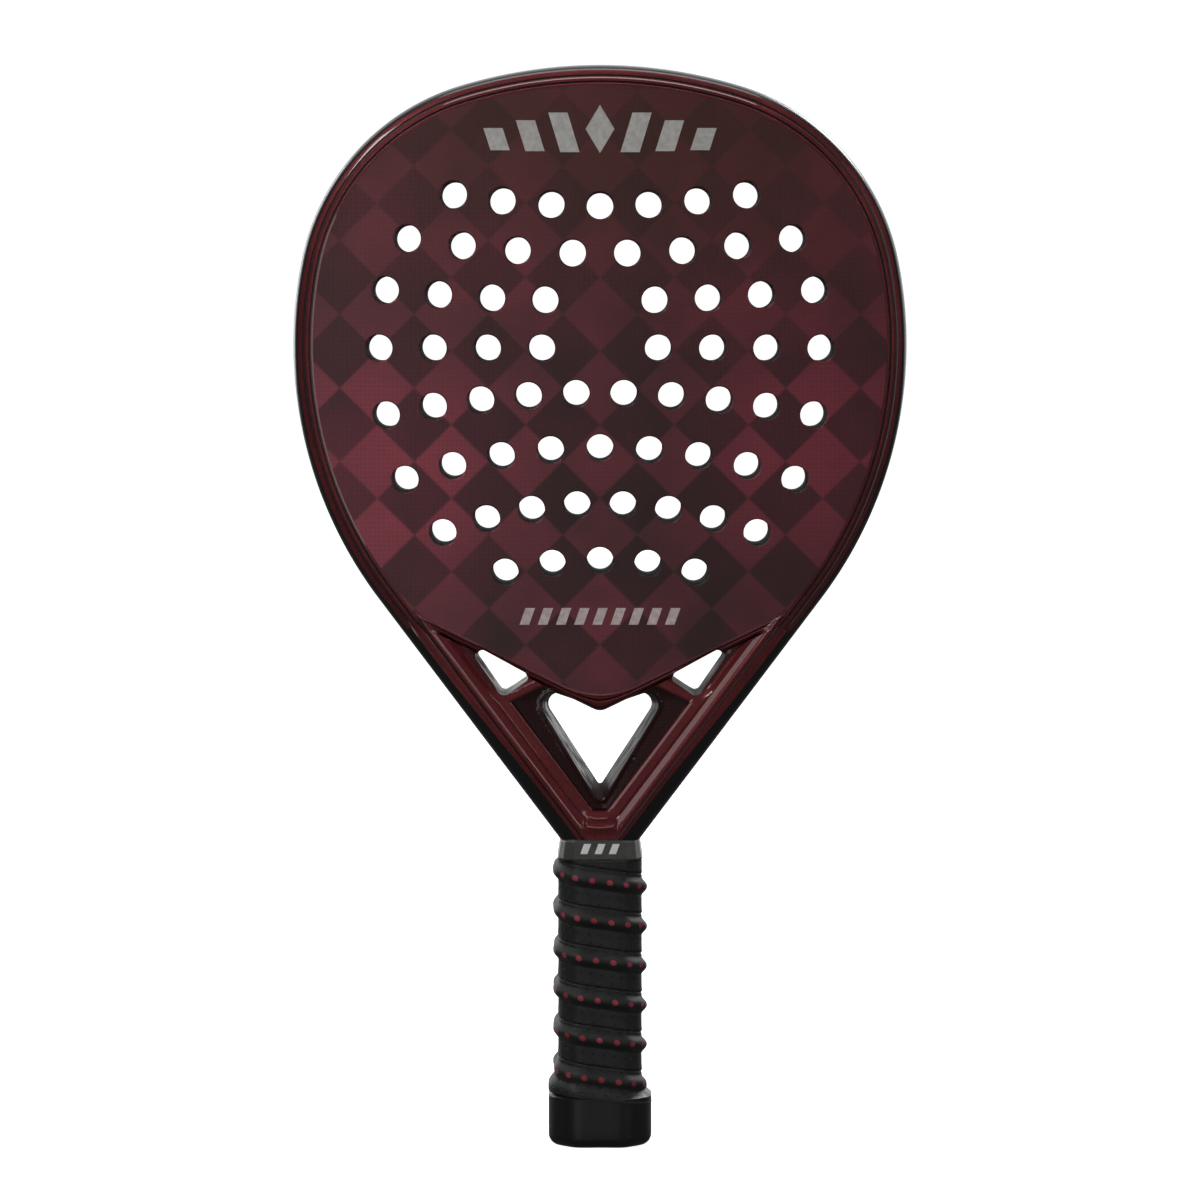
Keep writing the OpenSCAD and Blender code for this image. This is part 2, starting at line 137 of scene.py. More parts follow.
def chin(x, point, radius):
    """Height of a V whose point is rounded."""
    a = math.radians(V_SLOPE)
    x = np.abs(np.asarray(x, float))
    arc = point + radius / math.cos(a) - np.sqrt(np.maximum(radius * radius - x * x, 0))
    return np.where(x < radius * math.sin(a), arc, point + x * math.tan(a))


def face_edge(x):
    return chin(x, FACE_POINT, 34)


def bridge_edge(x):
    return chin(x, BRIDGE_POINT, 6)


def core_edge(x):
    return chin(x, CORE_POINT, 30)


# The two upper circles of a side window's corners, which notch the bridge: place and radius
NOTCH = ((32.8, THROAT_Z + 68.9, 2.0), (49.3, THROAT_Z + 77.9, 2.0))


def bridge_rim(x):
    """The bridge's lower edge, with its notches over the side windows."""
    x = np.abs(np.asarray(x, float))
    (x0, z0, r), (x1, z1, _) = NOTCH
    lean = math.atan2(z1 - z0, x1 - x0)
    line = z0 + r / math.cos(lean) + (x - x0) * math.tan(lean)
    low_arc = z0 + np.sqrt(np.maximum(r * r - (x - x0) ** 2, 0))
    high_arc = z1 + np.sqrt(np.maximum(r * r - (x - x1) ** 2, 0))
    touch = r * math.sin(lean)
    top = np.where(x > x1 - touch, high_arc, line)
    top = np.where(x < x0 - touch, low_arc, top)
    return np.maximum(bridge_edge(x), np.where((x > x0 - r) & (x < x1 + r), top, 0))


# ---------------- meshes

def smoothstep(v, a, b):
    t = np.clip((np.asarray(v, float) - a) / (b - a), 0, 1)
    return t * t * (3 - 2 * t)


def outward(verts, faces):
    """The faces of a closed surface, turned to look outwards."""
    bm = bmesh.new()
    vs = [bm.verts.new(v) for v in verts]
    fs = [bm.faces.new([vs[i] for i in f]) for f in faces]
    bm.verts.index_update()
    bmesh.ops.recalc_face_normals(bm, faces=fs)
    made = [[v.index for v in f.verts] for f in fs]
    bm.free()
    return made


def add_mesh(name, verts, faces, materials, paint=None, crease=32, uv=None):
    """A piece of the racket, from millimetres. paint is a material index for each face, and uv is a pair for
    each face corner."""
    data = bpy.data.meshes.new(name)
    data.from_pydata([tuple(c * 0.001 for c in v) for v in verts], [], [list(f) for f in faces])
    for m in materials:
        data.materials.append(m)
    if paint is not None:
        data.polygons.foreach_set("material_index", np.asarray(paint, np.int32))
    if uv is not None:
        layer = data.uv_layers.new(name="wrap")
        layer.data.foreach_set("uv", np.asarray(uv, np.float32).ravel())
    data.validate()
    data.update()
    data.shade_smooth()
    data.set_sharp_from_angle(angle=math.radians(crease))
    obj = bpy.data.objects.new(name, data)
    scene.collection.objects.link(obj)
    return obj


def tube_faces(rings, count):
    """Faces of a tube through rings of points, with a cap at each end."""
    faces = []
    for i in range(rings - 1):
        for k in range(count):
            a, b = i * count + k, i * count + (k + 1) % count
            faces.append([a, b, b + count, a + count])
    faces.append(list(range(count))[::-1])
    faces.append([(rings - 1) * count + k for k in range(count)])
    return faces


def ring_faces(rings, count):
    """Faces round a ring-shaped solid, whose last ring of points joins the first."""
    faces = []
    for i in range(rings):
        j = (i + 1) % rings
        for k in range(count):
            q = (k + 1) % count
            faces.append([i * count + k, i * count + q, j * count + q, j * count + k])
    return faces


def within(points, loop):
    """Which points lie inside a closed loop."""
    x, z = points[:, 0], points[:, 1]
    inside = np.zeros(len(points), bool)
    a, b = loop, np.roll(loop, -1, 0)
    for (x0, z0), (x1, z1) in zip(a, b):
        if z0 == z1:
            continue
        hit = ((z0 > z) != (z1 > z)) & (x < (x1 - x0) * (z - z0) / (z1 - z0) + x0)
        inside ^= hit
    return inside


def near(points, line):
    """Distance from each point to a polyline."""
    best = np.full(len(points), 1e9)
    for a, b in zip(line[:-1], line[1:]):
        ab = b - a
        t = np.clip(((points - a) @ ab) / max(ab @ ab, 1e-9), 0, 1)
        best = np.minimum(best, np.hypot(*(points - a - t[:, None] * ab).T))
    return best


def nearest_on(loop, moved, point):
    """Where a point on a loop's edge goes when the loop's points move, or None if it is on no edge."""
    a, b = loop, np.roll(loop, -1, 0)
    ab = b - a
    t = np.clip(((point - a) * ab).sum(1) / np.maximum((ab * ab).sum(1), 1e-9), 0, 1)
    off = np.hypot(*(point - a - t[:, None] * ab).T)
    i = int(off.argmin())
    if off[i] > 0.02:
        return None
    return moved[i] + t[i] * (np.roll(moved, -1, 0)[i] - moved[i])


def relief(loops, lines, keep, outer, inner, spacing, box, mids=None, keep_off=0.5, bare=None):
    """A closed solid over a flat region: outer and inner give Y over (x, z). loops and lines are edges that
    the mesh follows, keep picks what belongs, mids moves the middle of the wall under a loop's points, and
    bare picks where only the lines give points."""
    coords, edges, middle = [], [], {}
    for n, loop in enumerate(loops):
        start = len(coords)
        coords += [tuple(p) for p in loop]
        edges += [(start + i, start + (i + 1) % len(loop)) for i in range(len(loop))]
        if mids and mids[n] is not None:
            for i, m in enumerate(mids[n]):
                middle[start + i] = m
    for line in lines:
        start = len(coords)
        coords += [tuple(p) for p in line]
        edges += [(start + i, start + i + 1) for i in range(len(line) - 1)]
    x0, z0, x1, z1 = box
    rows = int((z1 - z0) / (spacing * 0.866)) + 1
    grid = np.array([(x0 + (i + 0.5 * (j % 2)) * spacing, z0 + j * spacing * 0.866)
                     for j in range(rows) for i in range(int((x1 - x0) / spacing) + 1)])
    grid = grid[keep(grid[:, 0], grid[:, 1])]
    if bare:
        grid = grid[~bare(grid[:, 0], grid[:, 1])]
    fixed = np.array(coords)
    clear = np.ones(len(grid), bool)
    for i in range(0, len(grid), 2000):
        d = grid[i:i + 2000, None, :] - fixed[None, :, :]
        clear[i:i + 2000] = (d ** 2).sum(-1).min(1) > (keep_off * spacing) ** 2
    coords += [tuple(p) for p in grid[clear]]
    vs, _, fs, origin, _, _ = delaunay_2d_cdt([Vector(c) for c in coords], edges, [], 0, 1e-4)
    flat = np.array([tuple(v) for v in vs])
    tris = np.array([list(f) for f in fs])
    centre = flat[tris].mean(1)
    tris = tris[keep(centre[:, 0], centre[:, 1])]
    a, b, c = (flat[tris[:, i]] for i in range(3))
    area = (b[:, 0] - a[:, 0]) * (c[:, 1] - a[:, 1]) - (b[:, 1] - a[:, 1]) * (c[:, 0] - a[:, 0])
    tris = tris[np.abs(area) > 1e-7]
    area = area[np.abs(area) > 1e-7]
    tris[area < 0] = tris[area < 0][:, ::-1]
    used = np.unique(tris)
    index = np.full(len(flat), -1)
    index[used] = np.arange(len(used))
    tris = index[tris]
    origins = [origin[i] for i in used]
    flat = flat[used]
    x, z = flat[:, 0], flat[:, 1]
    count = len(flat)
    verts = [(x[i], y, z[i]) for i, y in enumerate(outer(x, z))]
    verts += [(x[i], y, z[i]) for i, y in enumerate(inner(x, z))]
    faces = [list(t) for t in tris] + [[t[2] + count, t[1] + count, t[0] + count] for t in tris]
    directed = {(t[i], t[(i + 1) % 3]) for t in tris.tolist() for i in range(3)}
    border = sorted((a, b) for a, b in directed if (b, a) not in directed)
    mid = {}
    for edge in border:
        for v in edge:
            if v not in mid:
                at = next((middle[o] for o in origins[v] if o in middle), None)
                for loop, moved in zip(loops, mids or []):
                    if at is None and moved is not None:
                        at = nearest_on(loop, moved, flat[v])
                at = flat[v] if at is None else at
                mid[v] = len(verts)
                verts.append((at[0], (verts[v][1] + verts[v + count][1]) / 2, at[1]))
    for a, b in border:
        faces.append([b, a, mid[a], mid[b]])
        faces.append([mid[b], mid[a], a + count, b + count])
    return verts, faces, len(tris)


# ---------------- materials

def srgb(*channels):
    """A linear colour from display values of 0 to 255."""
    shares = [c / 255 for c in channels]
    return (*(s / 12.92 if s <= 0.04045 else ((s + 0.055) / 1.055) ** 2.4 for s in shares), 1.0)


class Nodes:
    """A material's nodes, linked as they are made."""

    def __init__(self, name):
        self.material = bpy.data.materials.new(name)
        self.material.use_nodes = True
        self.tree = self.material.node_tree
        self.shader = self.tree.nodes["Principled BSDF"]

    def feed(self, socket, value):
        """Link another node's socket to this one, or set it to a value."""
        if isinstance(value, bpy.types.NodeSocket):
            self.tree.links.new(value, socket)
        else:
            socket.default_value = value

    def add(self, kind, inputs=None, **settings):
        node = self.tree.nodes.new("ShaderNode" + kind)
        for key, value in settings.items():
            setattr(node, key, value)
        for key, value in (inputs or {}).items():
            self.feed(node.inputs[key], value)
        return node

    def math(self, operation, a, b=0.0, c=0.0):
        return self.add("Math", {0: a, 1: b, 2: c}, operation=operation).outputs[0]

    def mix(self, factor, a, b):
        return self.add("Mix", {0: factor, 6: a, 7: b}, data_type="RGBA").outputs[2]

    def position(self):
        """Place in millimetres, from the racket's own frame."""
        place = self.add("TexCoord").outputs["Object"]
        return self.stretched(place, (1000, 1000, 1000))

    def stretched(self, place, by):
        return self.add("VectorMath", {0: place, 1: by}, operation="MULTIPLY").outputs[0]

    def noise(self, place, scale, detail=3.0, rough=0.5):
        """Noise of 0 to 1, with a scale per millimetre."""
        inputs = {"Vector": place, "Scale": scale, "Detail": detail, "Roughness": rough}
        return self.add("TexNoise", inputs).outputs["Fac"]

    def ramp(self, value, low, high, to_low=0.0, to_high=1.0):
        return self.add("MapRange", {0: value, 1: low, 2: high, 3: to_low, 4: to_high}).outputs[0]

    def bump(self, height, depth, strength=1.0):
        node = self.add("Bump", {"Height": height, "Distance": depth, "Strength": strength})
        self.feed(self.shader.inputs["Normal"], node.outputs[0])

    def set(self, **values):
        """Give the shader its inputs, named with underscores for spaces."""
        for key, value in values.items():
            self.feed(self.shader.inputs[key.replace("_", " ")], value)
        return self.material


def lacquer(name, dark, light, metallic=0.35, rough=0.38, coat=1.0, coat_rough=0.04):
    """Clear-coated paint with fine metallic flakes over carbon."""
    n = Nodes(name)
    place = n.position()
    flakes = n.noise(place, 2.6, 2, 0.7)
    cloud = n.noise(place, 0.035, 3, 0.5)
    both = n.math("MULTIPLY", n.ramp(flakes, 0.35, 0.7), n.ramp(cloud, 0.3, 0.7, 0.35, 1))
    colour = n.mix(both, dark, light)
    n.bump(n.noise(place, 0.16, 2, 0.4), 0.00003, 0.35)
    uneven = n.ramp(cloud, 0.2, 0.8, rough - 0.06, rough + 0.08)
    return n.set(Base_Color=colour, Metallic=metallic, Roughness=uneven, Specular_IOR_Level=0.3,
                 Coat_Weight=coat, Coat_Roughness=coat_rough, Coat_IOR=1.5)


def solid_stuff(name, dark, light, scale, rough, bump=0.00005, detail=5, metallic=0.0, coat=0.0):
    """A plain stuff whose colour and height vary with noise of a given scale, per millimetre."""
    n = Nodes(name)
    place = n.position()
    grain = n.noise(place, scale, detail, 0.6)
    n.bump(grain, bump, 0.6)
    return n.set(Base_Color=n.mix(n.ramp(grain, 0.3, 0.7), dark, light), Metallic=metallic,
                 Roughness=n.ramp(grain, 0.3, 0.7, rough + 0.05, rough - 0.05), Coat_Weight=coat)


def weave(n, place, pitch):
    """Height of a twill weave over X and Z, from 0 to 1."""
    axes = n.add("SeparateXYZ", {0: place}).outputs
    a = n.math("MULTIPLY", n.math("ADD", axes[0], axes[2]), 1 / pitch)
    b = n.math("MULTIPLY", n.math("SUBTRACT", axes[0], axes[2]), 1 / pitch)
    wa = n.math("SINE", n.math("MULTIPLY", a, math.pi))
    wb = n.math("SINE", n.math("MULTIPLY", b, math.pi))
    return n.math("MULTIPLY_ADD", n.math("MULTIPLY", wa, wb), 0.5, 0.5)


# The face's diamonds: width, height, and the height of a row's middle
DIAMOND_WIDE, DIAMOND_TALL, DIAMOND_FOOT = 31.0, 30.7, 213.0


def carbon_face():
    """Satin carbon in diamonds of tows laid two ways, with the light each catches painted in: lighter and
    darker diamonds by turns, their contrast fading towards the top, and painted sheen patches.
    """
    n = Nodes("carbon_face")
    place = n.position()
    axes = n.add("SeparateXYZ", {0: place}).outputs
    across = n.math("DIVIDE", n.math("SUBTRACT", axes[0], DIAMOND_WIDE / 2), DIAMOND_WIDE)
    up = n.math("DIVIDE", n.math("SUBTRACT", axes[2], DIAMOND_FOOT), DIAMOND_TALL)
    # Lighter and darker diamonds by turns: a painted reflection of tows laid two ways.
    turns = [n.ramp(n.math("COSINE", n.math("MULTIPLY", way, math.pi)), -0.07, 0.07, -1.0, 1.0)
             for way in (n.math("ADD", across, up), n.math("SUBTRACT", across, up))]
    light = n.math("MULTIPLY_ADD", n.math("MULTIPLY", *turns), -0.5, 0.5)
    cloud = n.noise(place, 0.016, 3, 0.55)
    fibre_a = n.noise(n.stretched(place, (1, 1, 0.12)), 1.2, 3, 0.6)
    fibre_b = n.noise(n.stretched(place, (0.12, 1, 1)), 1.2, 3, 0.6)
    fibre = n.mix(light, fibre_a, fibre_b)
    woven = weave(n, place, 1.9)
    grain = n.math("MULTIPLY_ADD", woven, 0.35, n.math("MULTIPLY", fibre, 0.65))

    def painted_sheen_patch(x, z, reach, most):
        """A painted sheen patch: how far the colour goes towards the pale sheen colour round a place, fading
        with distance.
        """
        aside, above = n.math("SUBTRACT", axes[0], x), n.math("SUBTRACT", axes[2], z)
        off = n.add("CombineXYZ", {0: aside, 1: 0.0, 2: above}).outputs[0]
        distance = n.add("VectorMath", {0: off}, operation="LENGTH").outputs["Value"]
        return n.ramp(distance, 20.0, reach, most, 0.0)

    # Painted sheen: pale patches left and right on the face and in random clouds, mixed into the colour.
    sheen = n.math("MAXIMUM", painted_sheen_patch(-92, 282, 90, 1.0), painted_sheen_patch(88, 296, 75, 0.7))
    sheen = n.math("MAXIMUM", sheen, n.math("MULTIPLY", n.ramp(cloud, 0.42, 0.68), 0.55))
    patches = n.ramp(n.noise(place, 0.021, 2, 0.5), 0.38, 0.6, 0.55, 1.0)
    # The painted contrast between the diamonds fades above 325 mm and varies in patches.
    contrast = n.math("MULTIPLY", n.ramp(axes[2], 325.0, 385.0, 1.0, 0.42), patches)
    share = n.math("MULTIPLY_ADD", n.math("SUBTRACT", light, 0.45), contrast, 0.45)
    # The colours turn browner towards the top.
    warm = n.ramp(axes[2], 330.0, 430.0)
    # srgb(152, 58, 74) and srgb(90, 34, 46) are the painted sheen's colours for the lighter and darker
    # diamonds.
    bright = n.mix(sheen, n.mix(warm, srgb(84, 40, 46), srgb(96, 42, 38)), srgb(152, 58, 74))
    dark = n.mix(sheen, n.mix(warm, srgb(50, 28, 26), srgb(60, 32, 24)), srgb(90, 34, 46))
    base = n.mix(share, dark, bright)
    threads = n.mix(light, srgb(40, 22, 26), srgb(70, 30, 36))
    colour = n.mix(n.ramp(grain, 0.3, 0.75, 0.0, 0.35), base, threads)
    n.bump(grain, 0.00006, 0.5)
    return n.set(Base_Color=colour, Metallic=0.3, Roughness=n.math("MULTIPLY_ADD", light, -0.08, 0.46),
                 Coat_Weight=0.22, Coat_Roughness=0.3, Specular_IOR_Level=0.35)


def grip_stuff():
    """Cushion grip, dotted along its crest and perforated in rows. U runs along the wrap and V across it, in
    millimetres."""
    n = Nodes("grip_leather")
    place = n.position()
    uv = n.add("SeparateXYZ", {0: n.add("UVMap", uv_map="wrap").outputs[0]}).outputs

    def spots(pitch, shift, across, radius):
        cell = n.math("SUBTRACT", n.math("FRACT", n.math("MULTIPLY_ADD", uv[0], 1 / pitch, shift)), 0.5)
        du = n.math("MULTIPLY", cell, pitch)
        dv = n.math("SUBTRACT", uv[1], across)
        r = n.math("SQRT", n.math("ADD", n.math("MULTIPLY", du, du), n.math("MULTIPLY", dv, dv)))
        return n.ramp(r, radius * 0.8, radius * 1.15, 1.0, 0.0)

    dots = spots(6.5, 0.0, 0.0, 1.2)
    holes = 0.0
    for row, shift in ((-6.5, 0.25), (-3.7, 0.75), (3.7, 0.75), (6.5, 0.25)):
        holes = n.math("MAXIMUM", holes, spots(4.33, shift, row, 0.55))
    grain = n.noise(place, 1.4, 5, 0.65)
    cloud = n.noise(place, 0.09, 3, 0.5)
    base = n.mix(n.ramp(cloud, 0.3, 0.7), srgb(13, 13, 14), srgb(24, 24, 25))
    base = n.mix(dots, base, n.mix(n.ramp(cloud, 0.4, 0.6), srgb(140, 32, 42), srgb(164, 56, 76)))
    # The perforations are painted near black: painted shade inside the holes.
    base = n.mix(holes, base, srgb(8, 8, 8))
    height = n.math("SUBTRACT", n.math("MULTIPLY", grain, 0.25), n.math("MULTIPLY", holes, 1.0))
    height = n.math("SUBTRACT", height, n.math("MULTIPLY", dots, 0.5))
    n.bump(height, 0.0003, 0.8)
    return n.set(Base_Color=base, Roughness=n.ramp(grain, 0.3, 0.7, 0.62, 0.5), Sheen_Weight=0.08)


def throat_lacquer():
    """The frame's paint; in the recess, where the surface lies deeper, it turns to a darker red in a weave
    pattern with less clear coat.
    """
    n = Nodes("carbon_gloss_throat")
    place = n.position()
    axes = n.add("SeparateXYZ", {0: place}).outputs
    deep = n.ramp(n.math("ABSOLUTE", axes[1]), 15.0, 16.2, 1.0, 0.0)
    woven = weave(n, place, 1.5)
    flakes = n.ramp(n.noise(place, 2.6, 2, 0.7), 0.35, 0.7)
    plain = n.mix(flakes, srgb(70, 18, 21), srgb(136, 44, 49))
    weft = n.mix(n.ramp(woven, 0.2, 0.8), srgb(30, 3, 5), srgb(48, 6, 9))
    n.bump(n.math("MULTIPLY", n.math("MULTIPLY", woven, deep), 0.5), 0.00008, 0.5)
    return n.set(Base_Color=n.mix(deep, plain, weft), Metallic=0.35, Roughness=0.4, Specular_IOR_Level=0.25,
                 Coat_Weight=n.ramp(deep, 0.0, 1.0, 1.0, 0.45), Coat_Roughness=0.04, Coat_IOR=1.5)


def wall_lacquer():
    """The windows' inner walls: dark lacquer over uneven fabric, so that its shine comes in streaks."""
    n = Nodes("carbon_gloss_wall")
    place = n.position()
    across = n.add("SeparateXYZ", {0: place}).outputs[0]
    streaks = n.noise(n.stretched(place, (0.3, 1, 0.3)), 0.3, 4, 0.65)
    side = n.ramp(across, -8.0, 8.0, 0.8, 0.25)
    shine = n.math("MULTIPLY", n.ramp(streaks, 0.42, 0.6, 0.0, 1.0), side)
    base = n.mix(n.ramp(streaks, 0.35, 0.65), srgb(14, 11, 12), srgb(40, 34, 36))
    n.bump(streaks, 0.0002, 0.6)
    return n.set(Base_Color=base, Roughness=n.ramp(streaks, 0.35, 0.65, 0.6, 0.4), Specular_IOR_Level=0.12,
                 Coat_Weight=shine, Coat_Roughness=0.3)


THROAT = throat_lacquer()
RED = lacquer("carbon_gloss_red", srgb(72, 19, 22), srgb(146, 46, 51))
SADDLE = lacquer("carbon_gloss_saddle", srgb(34, 3, 6), srgb(60, 8, 12), 0.2, 0.6, 0.0, 0.4)
# A pale pink lacquer laid in thin lines on edges, chamfers and crests: painted highlight lines where the
# lamps glint.
PAINTED_HIGHLIGHT = lacquer("carbon_gloss_painted_highlight", srgb(130, 66, 70), srgb(186, 116, 118), 0.2, 0.4)
WALL = wall_lacquer()
BLACK = lacquer("carbon_gloss_black", srgb(14, 13, 14), srgb(30, 28, 30), 0.2, 0.34, 0.8, 0.13)
# A near-black red laid in the shallow grooves of the frame and bridge: painted shade in the grooves.
GROOVE_SHADE = lacquer("carbon_gloss_groove_shade", srgb(12, 3, 5), srgb(26, 6, 9), 0.1, 0.5, 0.6, 0.2)
FACE = carbon_face()
GRIP = grip_stuff()
CORE = solid_stuff("eva_foam", srgb(30, 30, 31), srgb(62, 62, 63), 1.1, 0.85, 0.00012)
PLY = solid_stuff("glass_ply", srgb(36, 30, 28), srgb(60, 50, 44), 0.9, 0.5, 0.00003)
FOAM = solid_stuff("rigid_foam", srgb(214, 208, 190), srgb(236, 232, 220), 1.5, 0.85, 0.0001)
FILM = solid_stuff("nylon_film", srgb(196, 198, 192), srgb(224, 226, 220), 0.2, 0.3, 0.00003)
TAPE = solid_stuff("adhesive_tape", srgb(150, 140, 118), srgb(190, 180, 156), 0.8, 0.6, 0.00004)
BUTT = solid_stuff("butt_plastic", srgb(9, 9, 10), srgb(14, 14, 15), 0.5, 0.42, 0.00003, 4, 0.0, 0.15)
RUBBER = solid_stuff("collar_rubber", srgb(58, 60, 57), srgb(72, 74, 70), 0.4, 0.4, 0.00002, 3, 0.0, 0.5)
PRINT_GREY = solid_stuff("decal_grey", srgb(176, 173, 168), srgb(204, 201, 196), 0.5, 0.4, 0.00002, 4, 0.3)
PRINT_PALE = solid_stuff("decal_pale", srgb(186, 166, 166), srgb(222, 206, 206), 0.6, 0.4, 0.00002)
PRINT_WHITE = solid_stuff("decal_white", srgb(232, 232, 230), srgb(250, 250, 248), 0.6, 0.4, 0.00002)

# ---------------- frame tube
# Sections from the middle of the outer side over the front to the middle of the inner side, as inset and
# depth. Each zone between two points has a finish: b black, r red, g groove with painted shade, l painted
# highlight line.

HEAD = [(0, 0), (0, 5), (0.05, 10), (0.35, 13), (0.9, 14.7), (1.6, 15.7), (2.3, 16.4), (3.4, 17.1),
        (4.2, 17.5), (4.6, 17.4), (5.0, 17.5), (5.35, 18.1), (5.95, 18.55), (6.9, 18.75), (7.3, 18.3),
        (7.8, 18.4), (8.1, 18.9), (8.8, 19.0), (8.81, 17.75), (13, 17.7), (13, 10), (13, 0)]
ARMS = [(0, 0), (0, 5), (0.05, 10), (0.35, 13), (0.9, 14.8), (1.7, 15.9), (2.8, 16.8), (3.6, 17.4),
        (4.0, 17.8), (4.5, 17.85), (5.0, 17.95), (6.0, 18.2), (7.0, 18.4), (7.7, 18.45), (8.0, 18.05),
        (8.25, 18.0), (8.5, 18.4), (8.8, 18.6), (8.8, 17.7), (8.8, 17.3), (8.8, 10), (8.8, 0)]
ZONES = "bbbbbbrrggrrrgglrrrrr"
ARM_ZONES = "bbbbbbbbrrrrrggrrrrrr"
# The tube's hollow, on the same terms
CAVITY = [(2.2, 0), (2.2, 10), (4.4, 14.4), (6, 15.4), (8, 15.4), (8.6, 15.4), (8.6, 0)]


def mirrored(section):
    """A closed section: the front half, then the rear half back to the start."""
    return [(u, -y) for u, y in section] + [(u, y) for u, y in section[-2:0:-1]]


# How far the tube's surface reaches in from the silhouette
TUBE_WIDTH = 8.8


def arm_share(station):
    """0 round the head, 1 down the arms."""
    return float(1 - smoothstep(station.foot, 104, 112))


# The black zone of the arms widens towards the collar: its edge, by how much, and where the widening ends
BLACK_EDGE, BLACK_WIDENS, RED_EDGE = 4.0, 2.2, 7.7


def sweep(head, arms):
    """A tube along the silhouette, whose section changes from the head's to the arms'."""
    head, arms = mirrored(head), mirrored(arms)
    half = []
    for s in STATIONS:
        w = arm_share(s)
        wider = BLACK_EDGE + BLACK_WIDENS * float(1 - smoothstep(s.foot, 12, 95)) * w
        ring = []
        for (u0, y0), (u1, y1) in zip(head, arms):
            u = u0 + (u1 - u0) * w
            if u1 < RED_EDGE:
                u = float(np.interp(u, [0, BLACK_EDGE, RED_EDGE], [0, wider, RED_EDGE]))
            x, z = s.at(u)
            ring.append((x, (y0 + (y1 - y0) * w) * float(taper(z)), z))
        half.append(ring)
    left = [[(-x, y, z) for x, y, z in ring] for ring in half[:0:-1]]
    rings = left + half
    return [p for ring in rings for p in ring], tube_faces(len(rings), len(head)), len(rings)


# Outline of the leg that each arm has inside the handle
LEG = [(2.8, -14.4), (10.5, -14.4), (15.8, -9.1), (15.8, 9.1), (10.5, 14.4), (2.8, 14.4)]
LEG_FOOT = 10.0


def build_frame():
    verts, faces, rings = sweep(HEAD, ARMS)
    zone_head, zone_arm = (["brgl".index(c) for c in zones + zones[::-1]] for zones in (ZONES, ARM_ZONES))
    turn = STATIONS[::-1] + STATIONS[1:]
    paint = []
    for station in turn[:rings - 1]:
        paint += zone_arm if arm_share(station) > 0.5 else zone_head
    paint += [1, 1]
    faces = outward(verts, faces)
    inner, hollow, _ = sweep(CAVITY, CAVITY)
    hollow = [f[::-1] for f in outward(inner, hollow)]
    faces += [[i + len(verts) for i in f] for f in hollow]
    verts = verts + inner
    paint += [1] * len(hollow)
    for side in (-1, 1):
        leg = [(x * side, y, z) for z in (LEG_FOOT, THROAT_Z - 0.02) for x, y in LEG]
        start = len(verts)
        faces += [[i + start for i in f] for f in outward(leg, tube_faces(2, 6))]
        verts = verts + leg
        paint += [1] * 8
    return add_mesh("frame_tube_shell", verts, faces, [BLACK, RED, GROOVE_SHADE, PAINTED_HIGHLIGHT], paint, crease=24)


# ---------------- windows and throat

def chain(circles, step=7, slope=None):
    """Round the outside of a chain of circles, counterclockwise, from the bridge's edge back to it. With a
    slope, the ends leave the outer circles as lines that fall towards the middle at that slope."""
    circles = [np.array(c, float) for c in circles]
    turns = []
    for c0, c1 in zip(circles[:-1], circles[1:]):
        d = c1[:2] - c0[:2]
        span = np.linalg.norm(d)
        d = d / span
        lean = math.asin((c0[2] - c1[2]) / span)
        n = math.cos(lean) * np.array([d[1], -d[0]]) + math.sin(lean) * d
        turns.append(math.atan2(n[1], n[0]))

    def at(c, a):
        return np.array([c[0] + c[2] * math.cos(a), c[1] + c[2] * math.sin(a)])

    def meet(c, a, way):
        for _ in range(300):
            p = at(c, a)
            if p[1] >= bridge_edge(p[0]) - 0.06:
                break
            a += way * 0.01
        return a

    ends = [meet(circles[0], turns[0], -1), meet(circles[-1], turns[-1], 1)]
    lines = None
    if slope:
        c = circles[-1]
        touch = at(c, math.pi / 2 + slope)
        start = touch[1] - math.tan(slope) * touch[0]
        across = (start - BRIDGE_POINT) / (math.tan(math.radians(V_SLOPE)) - math.tan(slope))
        if 3 < across < touch[0] - 0.3:
            ends = [math.pi / 2 - slope, math.pi / 2 + slope]
            lines = [touch + (np.array([across, bridge_edge(across)]) - touch) * k / 8 for k in range(1, 9)]
    angles = [ends[0]] + turns + [ends[1]]
    points = []
    for i, c in enumerate(circles):
        a0, a1 = angles[i], angles[i + 1]
        while a1 < a0 - 1e-9:
            a1 += 2 * math.pi
        arc = [at(c, a0 + (a1 - a0) * k / step) for k in range(step + 1)]
        if points:
            points += [points[-1] + (arc[0] - points[-1]) * k / 14 for k in range(1, 14)]
        points += arc
    if lines:
        points = [p * [-1, 1] for p in lines[::-1]] + points + lines
    points[0][1] = bridge_edge(points[0][0])
    points[-1][1] = bridge_edge(points[-1][0])
    return np.array(points)


